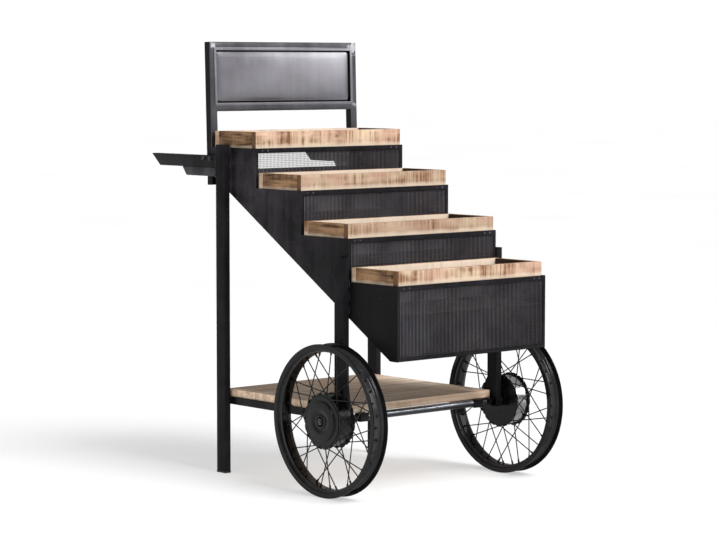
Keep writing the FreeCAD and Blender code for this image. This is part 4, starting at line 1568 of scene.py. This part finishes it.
@dataclass
class Studio:
    """Pale floor, soft light and the camera."""

    camera_place: Vector = Vector((-5.4557, -6.3234, 1.3548))
    yaw: float = math.radians(41.056)
    pitch: float = math.radians(4.665)
    focal_pixels: float = 2517.1
    image_width: float = 716.0
    sensor: float = 36.0
    floor_half: float = 60.0
    floor_glow: float = 0.52
    dim_side: float = 0.25
    bright_side: float = 0.6
    bright_towards: Triple = (-0.66, 0.75, 0.0)
    backdrop: float = 1.05

    def build(self) -> None:
        """Set everything up."""
        self.build_camera()
        self.build_floor()
        self.build_world()
        self.sun("key", azimuth=math.radians(12.0), height=math.radians(52.0),
                 spread=math.radians(28.0), power=3.4)
        self.area("softbox", place=(3.0, -3.4, 2.9), target=(0.0, 0.0, 1.0), size=2.4,
                  power=60.0)
        self.area("fill", place=(-2.6, -0.9, 0.9), target=(0.0, 0.0, 0.3), size=1.6,
                  power=12.0)
        bpy.context.scene.view_settings.view_transform = "Standard"

    @staticmethod
    def stand(name: str, data: bpy.types.ID, place: Vector, ahead: Vector) -> bpy.types.Object:
        """Put up a camera or a light.

        Args:
            name: its name.
            data: the camera's or light's own data.
            place: where it stands.
            ahead: the way it looks or shines.

        Returns:
            The new object.
        """
        thing = bpy.data.objects.new(name, data)
        thing.location = place
        thing.rotation_mode = "QUATERNION"
        thing.rotation_quaternion = ahead.to_track_quat("-Z", "Y")
        bpy.context.scene.collection.objects.link(thing)
        return thing

    def build_camera(self) -> None:
        """Place the camera as the photograph's view was solved."""
        lens = bpy.data.cameras.new("camera")
        lens.sensor_width = self.sensor
        lens.lens = self.focal_pixels / self.image_width * self.sensor
        lens.clip_end = 200.0
        ahead = Vector((math.sin(self.yaw) * math.cos(self.pitch),
                        math.cos(self.yaw) * math.cos(self.pitch), -math.sin(self.pitch)))
        bpy.context.scene.camera = self.stand("camera", lens, self.camera_place, ahead)

    def build_floor(self) -> None:
        """A wide plain pale floor."""
        shape = bmesh.new()
        bmesh.ops.create_grid(shape, x_segments=1, y_segments=1, size=self.floor_half)
        mesh = bpy.data.meshes.new("floor")
        shape.to_mesh(mesh)
        shape.free()
        material, sheet, shader, place = blank_material("floor_pale")
        tone = sheet.spread(sheet.noise(place, 0.6, 2.0), 0.3, 0.7)
        sheet.feed(shader, {"Base Color": sheet.mix(tone, (0.4, 0.4, 0.4), (0.42, 0.42, 0.42)),
                            "Roughness": 0.9, "Specular IOR Level": 0.1,
                            "Emission Color": (1, 1, 1, 1),
                            "Emission Strength": self.floor_glow})
        mesh.materials.append(material)
        floor = bpy.data.objects.new("floor", mesh)
        bpy.context.scene.collection.objects.link(floor)

    def build_world(self) -> None:
        """White behind the cart; a softer grey lights it."""
        world = bpy.data.worlds.new("studio")
        bpy.context.scene.world = world
        world.use_nodes = True
        world.node_tree.nodes.clear()
        sheet = NodeSheet(world.node_tree)
        seen = sheet.add("ShaderNodeBackground", {"Color": (1, 1, 1, 1),
                                                  "Strength": self.backdrop})
        towards = sheet.add("ShaderNodeTexCoord").outputs["Generated"]
        dot = sheet.add("ShaderNodeVectorMath", {0: towards, 1: self.bright_towards},
                        operation="DOT_PRODUCT").outputs["Value"]
        glow = sheet.spread(dot, 0.1, 0.8, self.dim_side, self.bright_side)
        lit = sheet.add("ShaderNodeBackground", {"Color": (0.97, 0.98, 1.0, 1),
                                                 "Strength": glow})
        path = sheet.add("ShaderNodeLightPath")
        both = sheet.add("ShaderNodeMixShader", {0: path.outputs["Is Camera Ray"],
                                                 1: lit.outputs[0], 2: seen.outputs[0]})
        sheet.add("ShaderNodeOutputWorld", {"Surface": both.outputs[0]})

    def sun(self, name: str, azimuth: float, height: float, spread: float,
            power: float) -> None:
        """One broad distant light.

        Args:
            name: the light's name.
            azimuth: how far it stands to the right of straight ahead of the front.
            height: its angle above the floor.
            spread: its angular width.
            power: its strength in watts per square metre.
        """
        lamp = bpy.data.lights.new(name, "SUN")
        lamp.angle = spread
        lamp.energy = power
        towards = Vector((math.sin(azimuth) * math.cos(height),
                          -math.cos(azimuth) * math.cos(height), math.sin(height)))
        self.stand(name, lamp, towards * 6.0, -towards)

    def area(self, name: str, place: Triple, target: Triple, size: float,
             power: float) -> None:
        """One soft square light.

        Args:
            name: the light's name.
            place: where it hangs.
            target: the point that it faces.
            size: its side.
            power: its power in watts.
        """
        lamp = bpy.data.lights.new(name, "AREA")
        lamp.size = size
        lamp.energy = power
        self.stand(name, lamp, Vector(place), Vector(target) - Vector(place))


def main() -> None:
    """Build every sub-assembly and report it."""
    logging.basicConfig(level=logging.INFO, format="%(message)s")
    finishes = Finishes()
    Studio().build()
    SheetBody(finishes).build()
    for tier in TIERS:
        WovenFront(tier, finishes).build()
        WoodenBox(tier, finishes).build()
    TubeFrame(finishes).build()
    SignFrame(finishes).build()
    Shelf(finishes).build()
    Axle(finishes).build()
    for side in Side:
        SpokedWheel(side, finishes).build()


if __name__ == "__main__":
    main()
